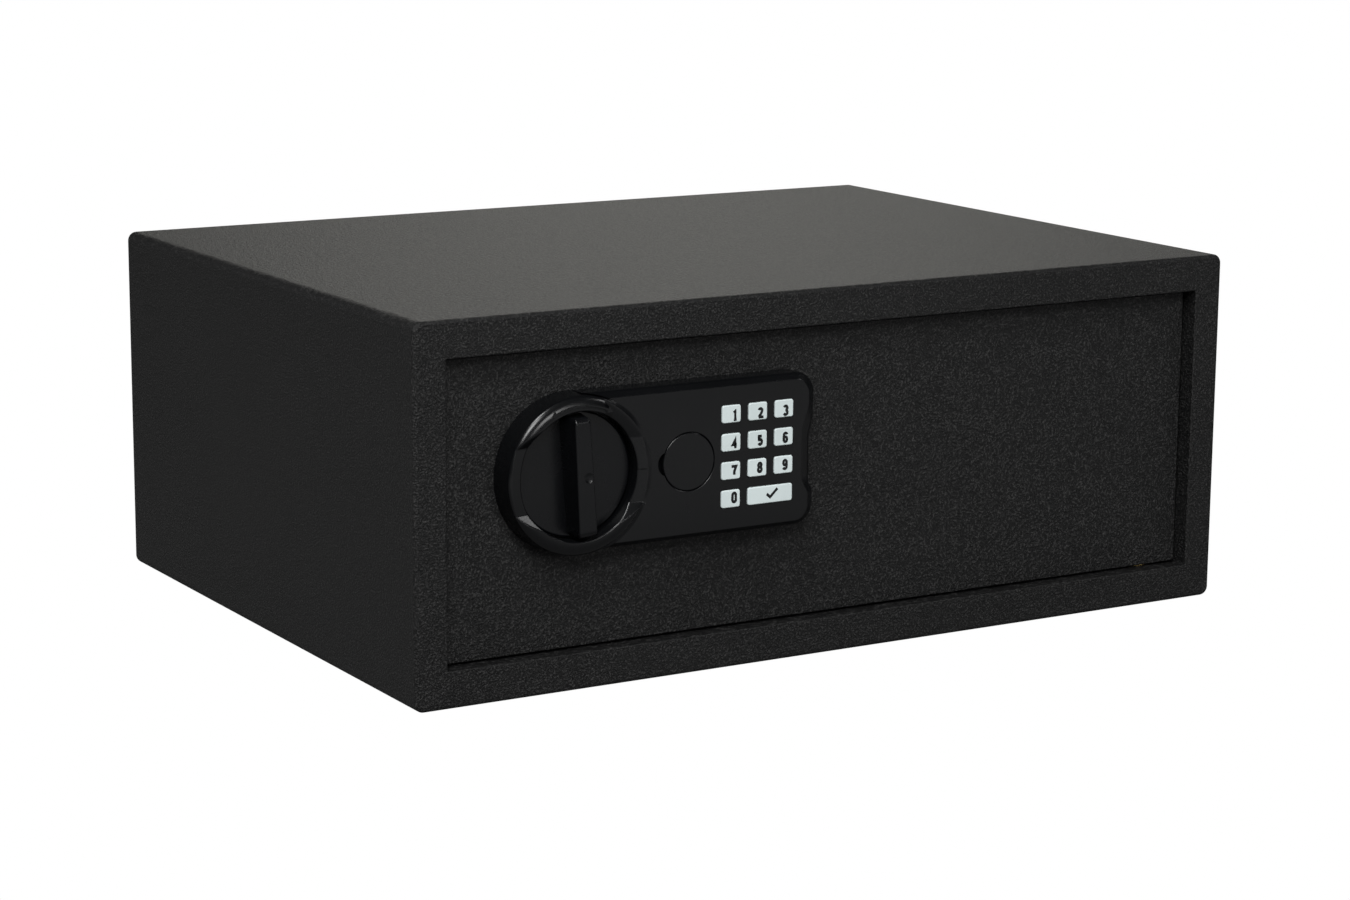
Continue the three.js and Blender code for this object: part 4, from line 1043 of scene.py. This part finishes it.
def floor_material():
    """White to the camera and plain grey to light. In reflections it glows with no lamp behind it, a
    painted reflection of a pale floor, from half a metre in front of the safe's middle; close to the safe
    it stays dark, painted shade of the floor there."""
    material, tree, shader = new_material("floor_white")
    shader.inputs["Base Color"].default_value = FLOOR_COLOUR
    shader.inputs["Roughness"].default_value = 0.9
    path = add(tree, "ShaderNodeLightPath")
    place = add(tree, "ShaderNodeTexCoord")
    parts = add(tree, "ShaderNodeSeparateXYZ")
    tree.links.new(place.outputs["Object"], parts.inputs["Vector"])
    fade = add(tree, "ShaderNodeMapRange")
    fade.inputs["From Min"].default_value = REFLECTION_GLOW_START
    fade.inputs["From Max"].default_value = REFLECTION_GLOW_END
    fade.inputs["To Min"].default_value = 0.0
    fade.inputs["To Max"].default_value = REFLECTION_GLOW_STRENGTH
    tree.links.new(parts.outputs["Y"], fade.inputs["Value"])
    reflected = add(tree, "ShaderNodeMath", operation="MULTIPLY")
    tree.links.new(fade.outputs["Result"], reflected.inputs[0])
    tree.links.new(path.outputs["Is Glossy Ray"], reflected.inputs[1])
    # Glow seen only by glossy rays: a painted reflection, dark near the safe as painted shade.
    painted_reflection_glow = add(tree, "ShaderNodeEmission")
    tree.links.new(reflected.outputs[0], painted_reflection_glow.inputs["Strength"])
    both = add(tree, "ShaderNodeAddShader")
    tree.links.new(shader.outputs[0], both.inputs[0])
    tree.links.new(painted_reflection_glow.outputs[0], both.inputs[1])
    white = add(tree, "ShaderNodeEmission")
    white.inputs["Strength"].default_value = 1.0
    mix = add(tree, "ShaderNodeMixShader")
    tree.links.new(path.outputs["Is Camera Ray"], mix.inputs[0])
    tree.links.new(both.outputs[0], mix.inputs[1])
    tree.links.new(white.outputs[0], mix.inputs[2])
    tree.links.new(mix.outputs[0], tree.nodes["Material Output"].inputs["Surface"])
    return material


def stage_floor():
    mesh = bpy.data.meshes.new("floor")
    reach = FLOOR_REACH
    mesh.from_pydata([(-reach, -reach, 0), (reach, -reach, 0), (reach, reach, 0), (-reach, reach, 0)],
                     [], [(0, 1, 2, 3)])
    mesh.materials.append(floor_material())
    floor = bpy.data.objects.new("floor", mesh)
    floor.location.z = -FLOOR_DROP
    bpy.context.collection.objects.link(floor)


def surroundings():
    """A world that is white to the camera and gives almost no light of its own."""
    world = bpy.data.worlds.new("studio")
    bpy.context.scene.world = world
    world.use_nodes = True
    tree = world.node_tree
    background = tree.nodes["Background"]
    background.inputs["Color"].default_value = (1, 1, 1, 1)
    path = add(tree, "ShaderNodeLightPath")
    strength = add(tree, "ShaderNodeMapRange")
    strength.inputs["To Min"].default_value = WORLD_LIGHT
    strength.inputs["To Max"].default_value = WORLD_SEEN
    tree.links.new(path.outputs["Is Camera Ray"], strength.inputs["Value"])
    tree.links.new(strength.outputs["Result"], background.inputs["Strength"])


def lamp(name, place, target, width, watts, colour):
    data = bpy.data.lights.new(name, "AREA")
    data.shape = "DISK"
    data.size = width
    data.energy = watts
    data.color = colour
    light = bpy.data.objects.new(name, data)
    light.location = place
    light.rotation_euler = (Vector(target) - Vector(place)).to_track_quat("-Z", "Y").to_euler()
    bpy.context.collection.objects.link(light)


# The photograph's view: focal length in pixels of a frame 1350 wide, place, and turn
PHOTO_WIDTH = 1350
FOCAL_PIXELS = 3260.5
SENSOR = 36.0
CAMERA_PLACE = Vector((-0.8405, -1.4101, 0.4012))
CAMERA_YAW = math.radians(30.98)
CAMERA_PITCH = math.radians(11.48)
CAMERA_ROLL = math.radians(0.446)


def camera():
    data = bpy.data.cameras.new("camera")
    data.sensor_width = SENSOR
    data.lens = FOCAL_PIXELS / PHOTO_WIDTH * SENSOR
    data.clip_start = 0.05
    seen = bpy.data.objects.new("camera", data)
    bpy.context.collection.objects.link(seen)
    ahead = Vector((math.sin(CAMERA_YAW), math.cos(CAMERA_YAW), 0))
    across = Vector((math.cos(CAMERA_YAW), -math.sin(CAMERA_YAW), 0))
    look = math.cos(CAMERA_PITCH) * ahead - math.sin(CAMERA_PITCH) * Vector((0, 0, 1))
    up = math.sin(CAMERA_PITCH) * ahead + math.cos(CAMERA_PITCH) * Vector((0, 0, 1))
    right = math.cos(CAMERA_ROLL) * across + math.sin(CAMERA_ROLL) * up
    top = -math.sin(CAMERA_ROLL) * across + math.cos(CAMERA_ROLL) * up
    turn = Matrix((right, top, -look)).transposed().to_4x4()
    seen.matrix_world = Matrix.Translation(CAMERA_PLACE) @ turn
    bpy.context.scene.camera = seen


for bolt_name in ("lock_bolt_upper", "lock_bolt_lower"):
    lock_bolt(bolt_name)
for number in (1, 2, 3, 4):
    cover_screw(f"cover_screw_{number}")
for pin_name in ("hinge_pin_top", "hinge_pin_bottom"):
    hinge_pin(pin_name)
reset_button()
battery_ribs()
for soft_name, soft_width in SOFTENED.items():
    soften(soft_name, soft_width)
cabinet_shell()
knob_ring()
ring_arrow("ring_arrow_left", 94, 119)
ring_arrow("ring_arrow_right", 86, 61)
panel_body()
for key_name in KEY_NAMES:
    key_cap(key_name)
    key_print(key_name)
knob_disc()
grip_bar()
grip_ribs()
cap_disc()
stage_floor()
surroundings()
for settings in LAMPS:
    lamp(*settings)
camera()
bpy.context.scene.view_settings.view_transform = "Standard"
